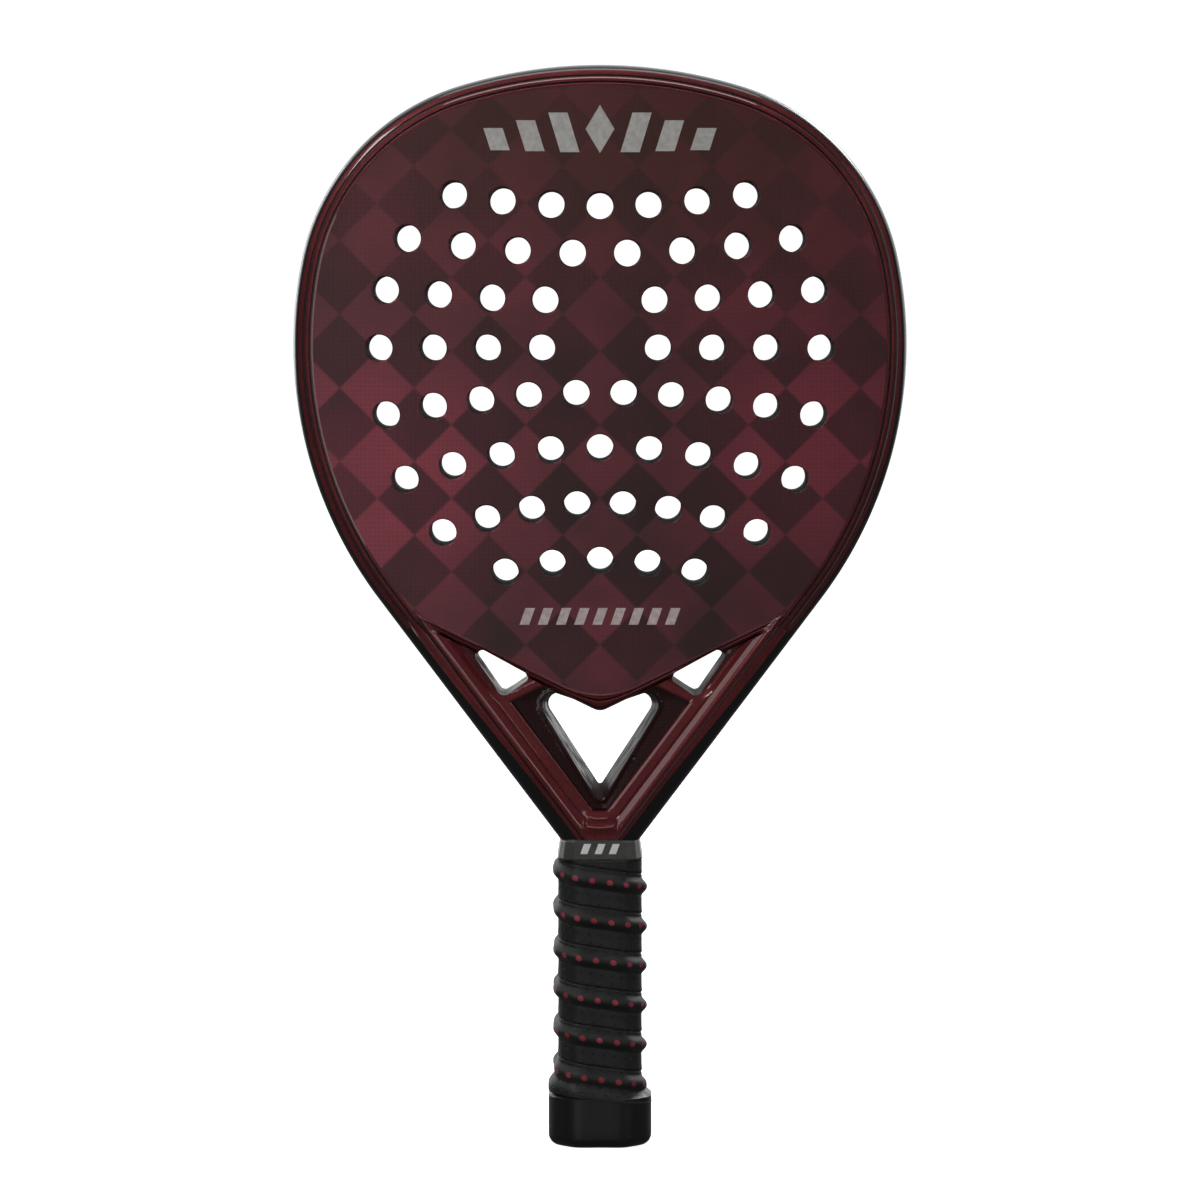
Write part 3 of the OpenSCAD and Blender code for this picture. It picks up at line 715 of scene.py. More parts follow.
# Heights in the throat are given over its foot. The windows are chains of circles, as place and radius: one
# chain at mid-thickness and a wider one at the front, since the walls slope.
F = THROAT_Z
MIDDLE_SLOPE = math.radians(19.3)
MIDDLE_CIRCLES = [(-17.4, F + 56.5, 4.4), (0, F + 23.9, 1.3), (17.4, F + 56.5, 4.4)]
MIDDLE_FRONT_CIRCLES = [(-19.7, F + 57.0, 5.0), (0, F + 19.6, 2.6), (19.7, F + 57.0, 5.0)]
SIDE_CIRCLES = [(32.8, F + 68.9, 2.0), (40, F + 64.8, 2.2), (49.3, F + 77.9, 2.0)]
SIDE_FRONT_CIRCLES = [(32.7, F + 68.7, 2.5), (40.1, F + 64.3, 3.1), (49.6, F + 77.6, 2.7)]
MIDDLE, SIDE = chain(MIDDLE_CIRCLES, slope=MIDDLE_SLOPE), chain(SIDE_CIRCLES)
MIDDLE_FRONT, SIDE_FRONT = chain(MIDDLE_FRONT_CIRCLES, slope=MIDDLE_SLOPE), chain(SIDE_FRONT_CIRCLES)


def closed_window(front, middle):
    """A window's loop closed along the bridge's edge, with where each point goes at mid-thickness."""
    xs = np.linspace(front[-1][0], front[0][0], 26)[1:-1]
    xm = np.linspace(middle[-1][0], middle[0][0], 26)[1:-1]
    top = np.stack([xs, bridge_edge(xs)], -1)
    top_mid = np.stack([xm, bridge_edge(xm)], -1)
    return np.concatenate([front, top]), np.concatenate([middle, top_mid])


def flipped(loop):
    return (loop * [-1, 1])[::-1]


def arm_line(inset, z0, z1, step=1.2):
    """Points along the right arm's line at an inset."""
    t0, t1 = ((z - THROAT_Z - inset * SIN) / COS for z in (z0, z1))
    between = np.arange(math.ceil((t0 + 0.3) / step), (t1 - 0.3) / step) * step
    zs = THROAT_Z + inset * SIN + np.concatenate([[t0], between, [t1]]) * COS
    xs = THROAT_X + (zs - THROAT_Z) * TAN - inset / COS
    keep = xs > 0.02
    return np.stack([xs, zs], -1)[keep]


# Inset of the flat panel of an arm's inner edge, and the line of a link's underside
ARM_PANEL = 18.6
LINK_HEAD, LINK_FOOT = np.array([25, F + 64.2]), np.array([36.2, F + 58.6])
LINK_RUN = (LINK_FOOT - LINK_HEAD) / np.linalg.norm(LINK_FOOT - LINK_HEAD)
LINK_UP = np.array([-LINK_RUN[1], LINK_RUN[0]])


def link_height(x, z):
    """Distance above the line of a link's underside."""
    return (np.abs(x) - LINK_HEAD[0]) * LINK_UP[0] + (z - LINK_HEAD[1]) * LINK_UP[1]


def on_link(x, z):
    along = (np.abs(x) - LINK_HEAD[0]) * LINK_RUN[0] + (z - LINK_HEAD[1]) * LINK_RUN[1]
    height = link_height(x, z)
    return (height > 0) & (height < 7.4) & (along > -4) & (along < 20) & (inset_of(x, z) > ARM_PANEL)


WINDOW_LOOPS = [closed_window(MIDDLE_FRONT, MIDDLE), closed_window(SIDE_FRONT, SIDE)]
WINDOW_LOOPS.append((flipped(WINDOW_LOOPS[1][0]), flipped(WINDOW_LOOPS[1][1])))


def in_window(x, z):
    points = np.stack([x, z], -1)
    inside = np.zeros(len(points), bool)
    for loop, _ in WINDOW_LOOPS:
        inside |= within(points, loop)
    return inside


# Distances from a window's edge at which its lip rises, stays level and falls
LIP = (0.45, 0.95, 1.6)


def lip_lines():
    """Lines that the lip round each window follows."""
    made = []
    for circles in (MIDDLE_FRONT_CIRCLES, SIDE_FRONT_CIRCLES):
        for grow in LIP:
            grown = [(x, z, radius + grow) for x, z, radius in circles]
            if circles is MIDDLE_FRONT_CIRCLES:
                made.append(chain(grown, slope=MIDDLE_SLOPE))
            else:
                line = chain(grown)
                made += [line, flipped(line)]
    return made


def rim_lip(x, z, depth):
    """Lip round each window."""
    points = np.stack([x, z], -1)
    d = np.full(len(points), 1e9)
    for front in (MIDDLE_FRONT, SIDE_FRONT, flipped(SIDE_FRONT)):
        d = np.minimum(d, near(points, front))
    return depth + np.interp(d, [0, *LIP], [0.0, 0.32, 0.32, 0.0])


# Depth of the ridges and grooves along the arms, over their inset
ARM_RELIEF = ([8.8, 9.2, 9.6, 10.2, 10.7, 12.4, 13.1, 13.45, 13.9, 14.4, 18.2, 18.7],
              [18.6, 18.8, 18.9, 18.9, 18.55, 18.3, 18.15, 17.7, 18.0, 18.05, 18.0, 17.75])


def arm_relief(d):
    return np.interp(d, ARM_RELIEF[0], ARM_RELIEF[1])


# Curved bars moulded over the bump above the collar: height over the throat, rise and reach to each side
BUMP_BARS = ((9.3, 0.55, 4.2), (5.4, 0.65, 6.4))
BAR_BOW = 0.02
PANEL_DEPTH = 18.05
# Heights between which the arms' inner edges sink beside the side windows
POCKET = (188.5, 196)


def yoke_depth(x, z):
    """Half the throat's thickness: ridged arms, and a panel above the collar with a bump and a recess."""
    d = inset_of(x, z)
    panel = smoothstep(-np.abs(x), -8.5, -7) * smoothstep(-z, -F - 13.5, -F - 11.5)
    depth = arm_relief(d) * (1 - panel) + PANEL_DEPTH * panel
    pocket = smoothstep(z, *POCKET)
    depth = depth + pocket * np.interp(d, [13.4, 14.6, 16], [0, -1.6, -2.6])
    floor = np.interp(d, [18.7, 19.3, 27], [14.8, 14.3, 14.0]) + pocket * 0.6
    recess = smoothstep(d, ARM_PANEL, 19.0) * smoothstep(z, F + 12.2, F + 13.2)
    depth = depth * (1 - recess) + floor * recess
    depth = np.where(recess > 0.98, rim_lip(x, z, depth), depth)
    bump = 0.7 * smoothstep(-np.abs(x), -7.5, -5.5)
    bump = bump * smoothstep(z, F + 2.5, F + 4.2) * smoothstep(-z, -F - 12, -F - 10)
    for up, rise, reach in BUMP_BARS:
        bar_height = rise * np.exp(-((z - F - up - BAR_BOW * x * x) / 0.55) ** 2)
        bump = bump + bar_height * smoothstep(-np.abs(x), -reach, -reach + 2)
    return (depth + bump) * taper(z)


def yoke_keep(x, z):
    between = (inset_of(x, z) > TUBE_WIDTH) & (z < bridge_edge(x)) & (z > F) & (np.abs(x) < 80)
    return between & ~in_window(x, z) & ~on_link(x, z)


def yoke_bare(x, z):
    """Where the arms' ridges give the mesh enough points."""
    d = inset_of(x, z)
    return ((d < 20.2) & (z > F + 13.6)) | (d < 14.0)


def top_of_arm_line(inset):
    """Height at which the arm's line at an inset meets the bridge's edge."""
    z = 200.0
    for _ in range(60):
        x = THROAT_X + (z - THROAT_Z) * TAN - inset / COS
        z = 0.5 * z + 0.5 * float(bridge_edge(x))
    return z


def build_yoke():
    top = top_of_arm_line(TUBE_WIDTH)
    side = arm_line(TUBE_WIDTH, F, top)
    xs = np.linspace(side[-1][0], -side[-1][0], 120)[1:-1]
    outline = np.concatenate([side, np.stack([xs, bridge_edge(xs)], -1), flipped(side)])
    lines = []
    for inset in (9.2, 9.6, 9.9, 10.2, 10.7, 11.5, 12.4, 13.1, 13.45, 13.9, 14.4, 14.7, 15.3, 16, 17.1, 18.2,
                  18.45, 18.7, 19.0, 19.3, 19.7):
        start = F + 0.3 + max(0.0, (inset / COS - THROAT_X) / TAN)
        line = arm_line(inset, start, top_of_arm_line(inset) - 0.3)
        lines += [line, line * [-1, 1]]
    for up in (12.2, 12.7, 13.2):
        reach = THROAT_X + up * TAN - ARM_PANEL / COS
        if reach > 0.4:
            xs = np.linspace(-reach, reach, 12)
            lines.append(np.stack([xs, np.full(12, F + up)], -1))
    for side in (-1, 1):
        link = [LINK_HEAD - 4 * LINK_RUN, LINK_FOOT + 1.5 * LINK_RUN]
        lines.append(np.array([link[0] + (link[1] - link[0]) * k / 16 for k in range(17)]) * [side, 1])
    for up, _, reach in BUMP_BARS:
        xs = np.linspace(-reach, reach, 15)
        for off in (-1.1, -0.7, -0.35, 0, 0.35, 0.7, 1.1):
            lines.append(np.stack([xs, F + up + off + BAR_BOW * xs * xs], -1))
    lines += lip_lines()
    loops = [outline] + [w[0] for w in WINDOW_LOOPS]
    mids = [None] + [w[1] for w in WINDOW_LOOPS]
    verts, faces, flat = relief(loops, lines, yoke_keep, lambda x, z: -yoke_depth(x, z), yoke_depth,
                                0.95, (-80, F, 80, 226), mids, bare=yoke_bare)
    finishes = [THROAT, WALL, PAINTED_HIGHLIGHT, SADDLE]
    paint = []
    for f in faces[:2 * flat]:
        x, _, z = np.mean([verts[i] for i in f], 0)
        # The crests of the bump's bars take the highlight lacquer: painted highlight arcs.
        crest = any(abs(z - F - up - BAR_BOW * x * x) < 0.35 and abs(x) < reach - 0.9
                    for up, _, reach in BUMP_BARS)
        paint.append(finishes.index(PAINTED_HIGHLIGHT if crest else THROAT))
    for f in faces[2 * flat:]:
        top = max(verts[i][2] for i in f) - F
        paint.append(finishes.index(THROAT if top < 16 else SADDLE if top < 25.5 else WALL))
    return add_mesh("throat_yoke_shell", verts, faces, finishes, paint, crease=30)


def link_depth(x, z):
    h = link_height(x, z)
    return np.interp(h, [0, 0.5, 1.0, 3.9, 4.5, 5.0, 7], [16.6, 17.2, 17.4, 17.4, 17.2, 16.6, 15.0])


def build_link(side, name):
    def keep(x, z):
        return (x * side > 0) & on_link(x, z) & (z < bridge_edge(x)) & ~in_window(x, z)

    window = WINDOW_LOOPS[1] if side > 0 else WINDOW_LOOPS[2]
    lines = []
    for h in (0.0, 0.5, 1.0, 3.9, 4.5, 5.0):
        a, b = LINK_HEAD - 3.9 * LINK_RUN + h * LINK_UP, LINK_FOOT + 6 * LINK_RUN + h * LINK_UP
        lines.append(np.array([a + (b - a) * k / 20 for k in range(21)]) * [side, 1])
    edge = arm_line(ARM_PANEL, F + 50, F + 72) * [side, 1]
    xs = np.linspace(20, 36, 20)
    lines += [edge, np.stack([xs * side, bridge_edge(xs)], -1)]
    verts, faces, flat = relief([window[0]], lines, keep, lambda x, z: -link_depth(x, z), link_depth,
                                0.8, (-45, F + 50, 45, F + 76), [window[1]])
    paint = [0] * (2 * flat) + [1] * (len(faces) - 2 * flat)
    return add_mesh(name, verts, faces, [THROAT, WALL], paint, crease=30)


def bridge_depth(x, z):
    edge, low = face_edge(x), bridge_rim(x)
    e = (edge - z) / (edge - low)
    shape = np.interp(e, [-0.02, 0, 0.1, 0.15, 0.3, 0.36, 0.42, 0.52, 0.66, 0.8, 0.9, 1.0],
                      [17.7, 18.97, 18.9, 18.5, 18.3, 17.7, 18.1, 18.25, 17.9, 17.0, 15.9, 14.0])
    d = inset_of(x, z)
    arm = arm_relief(d)
    w = smoothstep(d, 10.5, 14.0)
    return np.where(e > 0, arm + (shape - arm) * w, shape)


# Where the bridge starts inside the tube
BRIDGE_INSET = TUBE_WIDTH + 0.02


def bridge_keep(x, z):
    return (inset_of(x, z) > BRIDGE_INSET) & (z > bridge_rim(x)) & (z < core_edge(x)) & (np.abs(x) < 90)


def build_bridge():
    notch = np.concatenate([np.arange(30.7, 33.4, 0.15), np.arange(47.0, 51.5, 0.15)])
    xs = np.sort(np.concatenate([np.linspace(-88, 88, 190), notch, -notch]))
    xs = xs[np.append(True, np.diff(xs) > 0.06)]
    lines = []
    for share in (-0.02, 0.0, 0.1, 0.15, 0.22, 0.3, 0.36, 0.42, 0.52, 0.66, 0.8, 0.9):
        z = face_edge(xs) + (bridge_rim(xs) - face_edge(xs)) * share
        lines.append(np.stack([xs, z], -1)[inset_of(xs, z) > TUBE_WIDTH + 0.1])

    def border(curve):
        z = curve(xs)
        return np.stack([xs, z], -1)[inset_of(xs, z) > BRIDGE_INSET]

    low, high = border(bridge_rim), border(core_edge)
    right = [s.at(BRIDGE_INSET) for s in STATIONS]
    right = np.array([p for p in right if p[1] > low[-1][1] and p[1] < high[-1][1] and p[1] < 260])
    right = right[np.argsort(right[:, 1])]
    outline = np.concatenate([low, right, high[::-1], flipped(right)])
    verts, faces, _ = relief([outline], lines, bridge_keep, lambda x, z: -bridge_depth(x, z), bridge_depth,
                             1.4, (-90, F + 50, 90, 262))
    finishes = [RED, PAINTED_HIGHLIGHT, GROOVE_SHADE]
    paint = []
    for f in faces:
        c = np.mean([verts[i] for i in f], 0)
        e = (face_edge(c[0]) - c[2]) / (face_edge(c[0]) - bridge_rim(c[0]))
        # A painted highlight line just under the face's edge on the bridge's front and rear, and painted
        # shade in the groove band below it.
        top = abs(c[1]) > 17 and inset_of(c[0], c[2]) > TUBE_WIDTH
        below = (face_edge(c[0]) - c[2]) * 0.9
        finish = PAINTED_HIGHLIGHT if top and 0 < below < 0.75 else GROOVE_SHADE if top and 0.28 < e < 0.42 else RED
        paint.append(finishes.index(finish))
    return add_mesh("bridge_shell", verts, faces, finishes, paint, crease=26)


# ---------------- face

HOLE_R = 5.6
STRAIGHT = 1e6
# Rows of holes: distance below the top, radius of the row's bend, pitch, first hole's place, holes to a side
ROWS = [(58.7, 416, 20.4, 0, 4), (78.5, 526, 23, 11.5, 4), (98.3, 894, 22.2, 22.95, 4),
        (118, STRAIGHT, 22.6, 24.35, 4), (136.8, -445, 19.95, 9.95, 5), (159.5, -257, 20.7, 0, 5),
        (183.1, -187.5, 19.15, 9.6, 4), (206.6, -162.7, 20.05, 0, 3)]
FACE_INSET, FACE_DEPTH = 8.85, 18.99


def hole_centres():
    made = []
    for depth, bend, pitch, first, count in ROWS:
        for i in range(count):
            s = first + i * pitch
            a = s / bend
            p = (bend * math.sin(a), LENGTH - depth + bend * (1 - math.cos(a)))
            made += [p] if s == 0 else [p, (-p[0], p[1])]
    return np.array(made)


HOLES = hole_centres()


def hole_distance(x, z):
    best = np.full(np.shape(x), 1e9)
    for cx, cz in HOLES:
        best = np.minimum(best, np.hypot(x - cx, z - cz))
    return best


def face_loop(inset):
    right = np.array([s.at(inset) for s in STATIONS[::2]])
    right = right[right[:, 1] > face_edge(right[:, 0]) + 0.05]
    x = 60.0
    for _ in range(80):
        z = float(face_edge(x))
        x = 0.5 * x + 0.5 * (THROAT_X + (z - THROAT_Z) * TAN - inset / COS)
    xs = np.linspace(x, -x, 120)
    return np.concatenate([right, np.stack([xs, face_edge(xs)], -1), (right * [-1, 1])[:0:-1]])


def build_skin(side, name):
    """side is -1 for the front and 1 for the rear."""
    loops = [face_loop(FACE_INSET)]
    angles = np.arange(48) * 2 * math.pi / 48
    circle = np.stack([np.cos(angles), np.sin(angles)], -1)
    for c in HOLES:
        loops += [c + circle * r for r in (HOLE_R, HOLE_R + 0.15, HOLE_R + 0.5)]

    def outer(x, z):
        d = hole_distance(x, z) - HOLE_R
        return side * (FACE_DEPTH + np.interp(d, [0, 0.15, 0.5], [-0.35, -0.12, 0.0]))

    def keep(x, z):
        return (inset_of(x, z) > FACE_INSET) & (z > face_edge(x)) & (hole_distance(x, z) > HOLE_R)

    verts, faces, _ = relief(loops, [], keep, outer, lambda x, z: np.full(len(x), side * 18.2), 5.0,
                             (-130, 185, 130, 450))
    faces = outward(verts, faces)
    return add_mesh(name, verts, faces, [FACE], crease=8)


def prism(outlines, low, high):
    """Closed prisms over flat outlines, between two depths."""
    verts, faces = [], []
    for loop in outlines:
        n = len(loop)
        part = [(x, y, z) for y in (low, high) for x, z in loop]
        f = outward(part, tube_faces(2, n))
        faces += [[i + len(verts) for i in q] for q in f]
        verts += part
    return verts, faces


def bar(x, z, width, height, lean):
    """A leaning bar's four corners."""
    low, high = z - height / 2, z + height / 2
    left, right, shift = x - width / 2, x + width / 2, lean / 2
    return [(left - shift, low), (right - shift, low), (right + shift, high), (left + shift, high)]


def emblem_outlines():
    z = LENGTH - 27
    made = [[(-6, z), (0, z - 10), (6, z), (0, z + 10)]]
    for i in (1, 2, 3):
        right = bar(14 * i + 1, z - 1.4 * i, 8, 20 - 3.6 * i, 6 - i)
        made += [right, [(-x, h) for x, h in right]]
    return made


def stripe_outlines():
    return [bar(7.6 * i, LENGTH - 230, 4, 7, 2.5) for i in range(-4, 5)]


def build_print(name, outlines, side, depth, material):
    verts, faces = prism(outlines, side * (depth - 0.2), side * (depth + 0.05))
    return add_mesh(name, verts, faces, [material], crease=30)


# ---------------- handle

SIDES = 360
ANGLES = np.arange(SIDES) * 2 * math.pi / SIDES


def octagon_radii(half_x, half_y, corner, soften):
    """Distance from the axis to an octagon at each angle, its corners softened over some degrees."""
    c, s = np.abs(np.cos(ANGLES)), np.abs(np.sin(ANGLES))
    r = np.minimum(half_x / np.maximum(c, 1e-9), half_y / np.maximum(s, 1e-9))
    r = np.minimum(r, (half_x + half_y - corner) / (c + s))
    k = np.exp(-0.5 * (np.arange(-3 * soften, 3 * soften + 1) / soften) ** 2)
    return np.convolve(np.concatenate([r[-3 * soften:], r, r[:3 * soften]]), k / k.sum(), "valid")


BUTT_R = octagon_radii(21.6, 19.0, 9.5, 7)


def build_butt():
    neck = octagon_radii(16.8, 15.2, 5.6, 5)
    core = octagon_radii(15.8, 14.4, 5.3, 2)
    cord_hole, chamfer = np.full(SIDES, 2.75), np.full(SIDES, 3.3)
    levels = [(cord_hole, 0.9), (chamfer, 0.35), (BUTT_R * 0.35, 0.1), (BUTT_R * 0.62, 0.0)]
    for turn in np.linspace(0, math.pi / 2, 9):
        levels.append((BUTT_R - 4.6 * (1 - math.sin(turn)), 4.4 * (1 - math.cos(turn))))
    levels += [(BUTT_R, z) for z in (8, 12, 16, 19, 21)]
    levels += [(BUTT_R - 1.6, 22.4), (neck + 0.4, 24.5), (neck, 26)]
    levels += [(core, 26), (core, 3.6), (cord_hole, 3.5)]
    verts = [(r * math.cos(a), r * math.sin(a), z) for radii, z in levels for r, a in zip(radii, ANGLES)]
    faces = outward(verts, ring_faces(len(levels), SIDES))
    return add_mesh("butt_cap_shell", verts, faces, [BUTT], crease=35)


# The wrap starts at the back and goes round by the left to the front, and STEPS and WALK follow it.
PITCH, GRIP_TOP, GRIP_FOOT = 16.8, 121.4, 26.2
TOP_CREST = 113.3 + PITCH / 2
FROM_BACK = (np.arange(SIDES) + SIDES // 4) % SIDES
GRIP_R = octagon_radii(17.55, 16.3, 7.2, 6)
STEPS = np.hypot(np.diff(np.append(GRIP_R, GRIP_R[0])), GRIP_R * 2 * math.pi / SIDES)[FROM_BACK]
LAP = STEPS.sum()
WALK = np.cumsum(STEPS) - STEPS


def wrap_place(z):
    """Across and along the wrap, for a height at each angle."""
    crest = TOP_CREST - PITCH * WALK / LAP
    turn = np.round((crest - z) / PITCH)
    return z - (crest - turn * PITCH), WALK + turn * LAP


def grip_height(z, waves):
    """Rise of the grip's surface over its valley: rib, lapped seam, the rib's foot and creases."""
    across, along = wrap_place(z)
    rib = 2.15 * np.exp(-np.abs(across / 2.55) ** 2.6)
    seam = across - 5.35
    seam = np.where(seam < -PITCH / 2, seam + PITCH, seam)
    lap = -0.6 * np.exp(-(seam / 0.4) ** 2) + 0.28 * np.exp(-np.clip(seam, 0, 9) / 1.6) * (seam > 0)
    foot = -0.22 * np.exp(-((np.abs(across) - 3.6) / 0.7) ** 2)
    creases = sum(rise * np.sin(along / length + phase + across * 0.35) for length, rise, phase in waves)
    creases = creases * np.exp(-((across - 1) / 6) ** 2)
    return (rib + lap + foot + creases) * smoothstep(-z, -GRIP_TOP, -GRIP_TOP + 2)


def wrap_uv(places, corners):
    """Along and across the wrap at a face's corners, all taken on the turn of the first."""
    row, column = corners[0]
    across, along = places[row][0][column], places[row][1][column]
    made = []
    for row, column in corners:
        v, u = places[row][0][column], places[row][1][column]
        turns = round((v - across) / PITCH)
        v, u = v - turns * PITCH, u - turns * LAP
        made.append((u - round((u - along) / LAP) * LAP, v))
    return made


def build_grip():
    rows = 290
    random = np.random.default_rng(4)
    waves = [(random.uniform(0.9, 4.5), random.uniform(0.02, 0.06), random.uniform(0, 6.28))
             for _ in range(9)]
    x_unit, y_unit = np.cos(ANGLES[FROM_BACK]), np.sin(ANGLES[FROM_BACK])
    base, butt = GRIP_R[FROM_BACK], BUTT_R[FROM_BACK]
    low = 20.2 - 0.125 * butt * x_unit
    flare_mid = 25.2 - 0.17 * butt * x_unit
    rings, places = [], []
    for row in range(rows):
        z = low + row / (rows - 1) * (GRIP_TOP - low)
        flare = 1 - smoothstep(z, flare_mid - 3.6, flare_mid + 3.8)
        radius = base + grip_height(z, waves) * (1 - flare) + flare * (butt + 0.12 - base)
        edge = np.clip(1 - (z - low) / 0.5, 0, 1)
        rings.append((radius - 0.3 * edge * edge, z))
        places.append(wrap_place(z))
    inner = octagon_radii(16.0, 14.6, 5.35, 2)[FROM_BACK]
    neck = octagon_radii(17.4, 15.8, 5.9, 4)[FROM_BACK]
    level = np.ones(SIDES)
    rings += [(inner, GRIP_TOP * level), (inner, GRIP_FOOT * level), (neck, (GRIP_FOOT - 0.1) * level),
              (butt - 1.5, low)]
    places += [(8.0 * level, WALK)] * 4
    verts = [p for radius, z in rings for p in zip(radius * x_unit, radius * y_unit, z)]
    faces = ring_faces(len(rings), SIDES)
    uv = [pair for f in faces for pair in wrap_uv(places, [divmod(v, SIDES) for v in f])]
    return add_mesh("grip_wrap", verts, faces, [GRIP], crease=70, uv=uv)


# A quarter of the collar's outline, from its side to its front
COLLAR_QUARTER = [(16.9, 0), (16.9, 8.6), (16.4, 11.8), (14.5, 15.2), (10.5, 16.95), (0, 17.0)]
COLLAR_HEIGHT = 8.6


def collar_outline(scale, inset):
    right = [(x * scale - inset * (x > 1), y - inset * (y > 1)) for x, y in COLLAR_QUARTER]
    front = [(x, -y) for x, y in right[-2::-1]] + right[1:-1]
    rear = [(-x, y) for x, y in right[-2::-1]] + [(-x, -y) for x, y in right[1:-1]]
    return front + right[-1:] + rear + [(0, -right[-1][1])]


def build_collar():
    foot, top = F - COLLAR_HEIGHT, F
    levels = [(1.065, 0.45, foot), (1.065, 0.12, foot + 0.35), (1.062, 0.0, foot + 0.8),
              (1.004, 0.0, top - 0.9), (1.0, 0.12, top - 0.35), (1.0, 0.5, top)]
    rings = [[(x, y, z) for x, y in collar_outline(scale, inset)] for scale, inset, z in levels]
    rings += [[(x * 0.93, y * 0.86, z) for x, y in collar_outline(1.0, 0)] for z in (top, foot)]
    verts = [p for ring in rings for p in ring]
    faces = outward(verts, ring_faces(len(rings), len(rings[0])))
    return add_mesh("collar_ring", verts, faces, [RUBBER], crease=12)


# ---------------- pieces

def place(obj, slot, *stands_for):
    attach(obj, "root")
    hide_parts(*stands_for)
    return obj


place(build_frame(), "carbon_gloss", "frame_tube")
place(build_yoke(), "carbon_gloss", "throat_yoke")
place(build_bridge(), "carbon_gloss", "bridge_tube")
place(build_link(-1, "left_link_bar"), "carbon_gloss", "left_link")
place(build_link(1, "right_link_bar"), "carbon_gloss", "right_link")
place(build_skin(-1, "front_face"), "carbon_face", "front_skin")
place(build_skin(1, "rear_face"), "carbon_face", "rear_skin")
for side, end in ((-1, "front"), (1, "rear")):
    emblem = build_print(end + "_emblem_print", emblem_outlines(), side, FACE_DEPTH, PRINT_GREY)
    place(emblem, "decal_grey", end + "_emblem")
    stripes = build_print(end + "_stripe_print", stripe_outlines(), side, FACE_DEPTH, PRINT_PALE)
    place(stripes, "decal_pale", end + "_stripes")
place(build_butt(), "butt_plastic", "butt_cap")
grip = place(build_grip(), "grip_leather", "cushion_grip", "grip_rib")
place(build_collar(), "collar_rubber", "collar")
mark = [bar(6.0 * i, F - 3.6, 3, 4.3, 1.6) for i in (-1, 0, 1)]
place(build_print("collar_mark_print", mark, -1, 17.0, PRINT_WHITE), "decal_white", "collar_mark")

for name, stuff in (("head_core", CORE), ("front_ply", PLY), ("rear_ply", PLY), ("bridge_foam", FOAM),
                    ("yoke_foam", FOAM), ("handle_foam", FOAM), ("frame_bladder", FILM), ("grip_tape", TAPE),
                    ("finishing_tape", TAPE)):
    nodes[name].data.materials.clear()
    nodes[name].data.materials.append(stuff)

# ---------------- stage

def emitter(name, location, target, width, height, power, colour=(1, 1, 1)):
    light = bpy.data.lights.new(name, "AREA")
    light.shape = "RECTANGLE"
    light.size, light.size_y = width, height
    light.energy = power
    light.color = colour
    obj = bpy.data.objects.new(name, light)
    scene.collection.objects.link(obj)
    obj.location = location
    obj.rotation_euler = (Vector(target) - Vector(location)).to_track_quat("-Z", "Y").to_euler()
    obj.visible_camera = False


emitter("key", (-1.1, -1.3, 1.5), (0, 0, 0.3), 0.8, 0.6, 14)
emitter("fill", (1.5, -1.5, 0.8), (0, 0, 0.25), 0.35, 1.3, 6)
emitter("top", (0.0, -0.1, 1.7), (0, 0, 0.3), 1.2, 0.35, 5.5)
emitter("sheen", (-0.62, -2.3, 0.25), (0, 0, 0.25), 1.0, 0.9, 5)
emitter("rear_key", (1.1, 1.3, 1.5), (0, 0, 0.3), 0.8, 0.6, 12)
emitter("rear_fill", (-1.5, 1.5, 0.8), (0, 0, 0.25), 0.35, 1.3, 6)

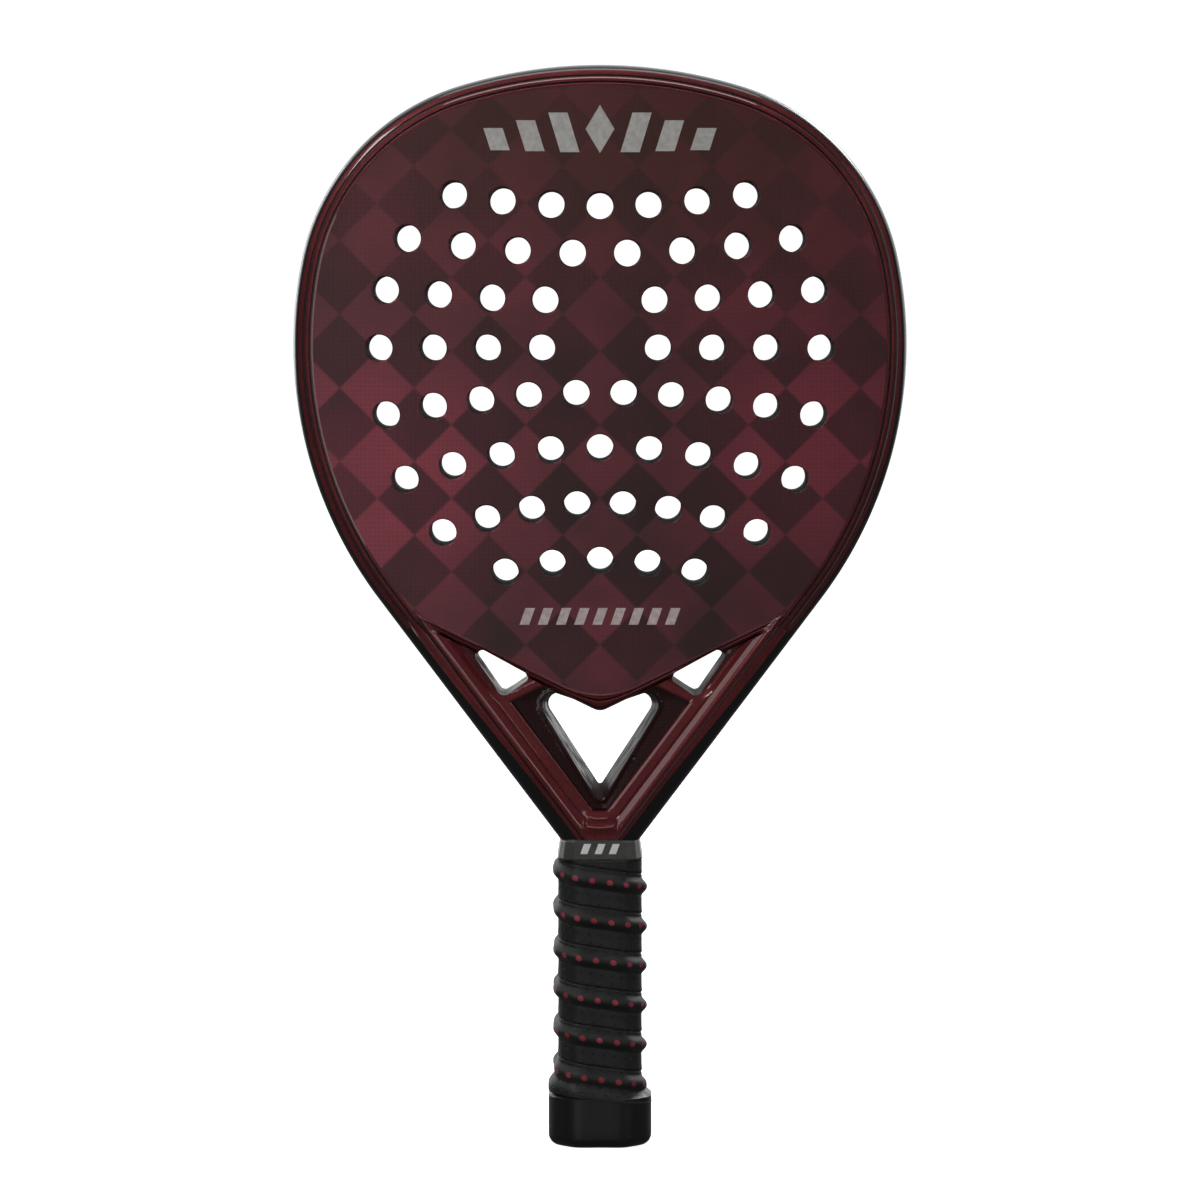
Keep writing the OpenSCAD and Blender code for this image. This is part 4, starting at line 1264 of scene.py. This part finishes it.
world = bpy.data.worlds.new("studio")
scene.world = world
world.use_nodes = True
world.node_tree.nodes["Background"].inputs[0].default_value = (1, 1, 1, 1)
world.node_tree.nodes["Background"].inputs[1].default_value = 0.08

floor_nodes = Nodes("floor_paint")
spot = floor_nodes.noise(floor_nodes.position(), 0.01, 2)
floor_paint = floor_nodes.set(Base_Color=floor_nodes.mix(spot, (0.86, 0.86, 0.86, 1), (0.88, 0.88, 0.88, 1)),
                              Roughness=0.7, Emission_Color=(1, 1, 1, 1), Emission_Strength=0.96)
wall_nodes = Nodes("backdrop_paint")
wall_spot = wall_nodes.noise(wall_nodes.position(), 0.01, 2)
wall_paint = wall_nodes.set(Base_Color=wall_nodes.mix(wall_spot, (0.8, 0.8, 0.8, 1), (0.82, 0.82, 0.82, 1)),
                            Roughness=0.9, Emission_Color=(1, 1, 1, 1), Emission_Strength=1.0)
# A room that holds every camera. Its backdrop reaches past the other walls, for the lacquer mirrors it.
ROOM, ROOM_HEIGHT = 6.0, 7.0
BACKDROP_HALF, BACKDROP_LOW, BACKDROP_HIGH = 16.4, -0.55, 19.0
room = [(-ROOM, ROOM), (-ROOM, -ROOM), (ROOM, -ROOM), (ROOM, ROOM)]
sheets = [("floor", [(x, y, 0) for x, y in room], floor_paint)]
for name, (x0, y0), (x1, y1) in zip(("left_wall", "front_wall", "right_wall"), room, room[1:]):
    corners = [(x0, y0, 0), (x1, y1, 0), (x1, y1, ROOM_HEIGHT), (x0, y0, ROOM_HEIGHT)]
    sheets.append((name, corners, wall_paint))
backdrop = [(BACKDROP_HALF * side, ROOM, z) for side, z in
            ((1, BACKDROP_LOW), (-1, BACKDROP_LOW), (-1, BACKDROP_HIGH), (1, BACKDROP_HIGH))]
sheets.append(("backdrop", backdrop, wall_paint))
for name, corners, paint in sheets:
    data = bpy.data.meshes.new(name)
    data.from_pydata(corners, [], [[0, 1, 2, 3]])
    data.materials.append(paint)
    stage_piece = bpy.data.objects.new(name, data)
    scene.collection.objects.link(stage_piece)
    stage_piece.visible_diffuse = False
    stage_piece.visible_glossy = name == "backdrop"

scene.view_settings.view_transform = "Standard"
scene.view_settings.exposure = 0.0
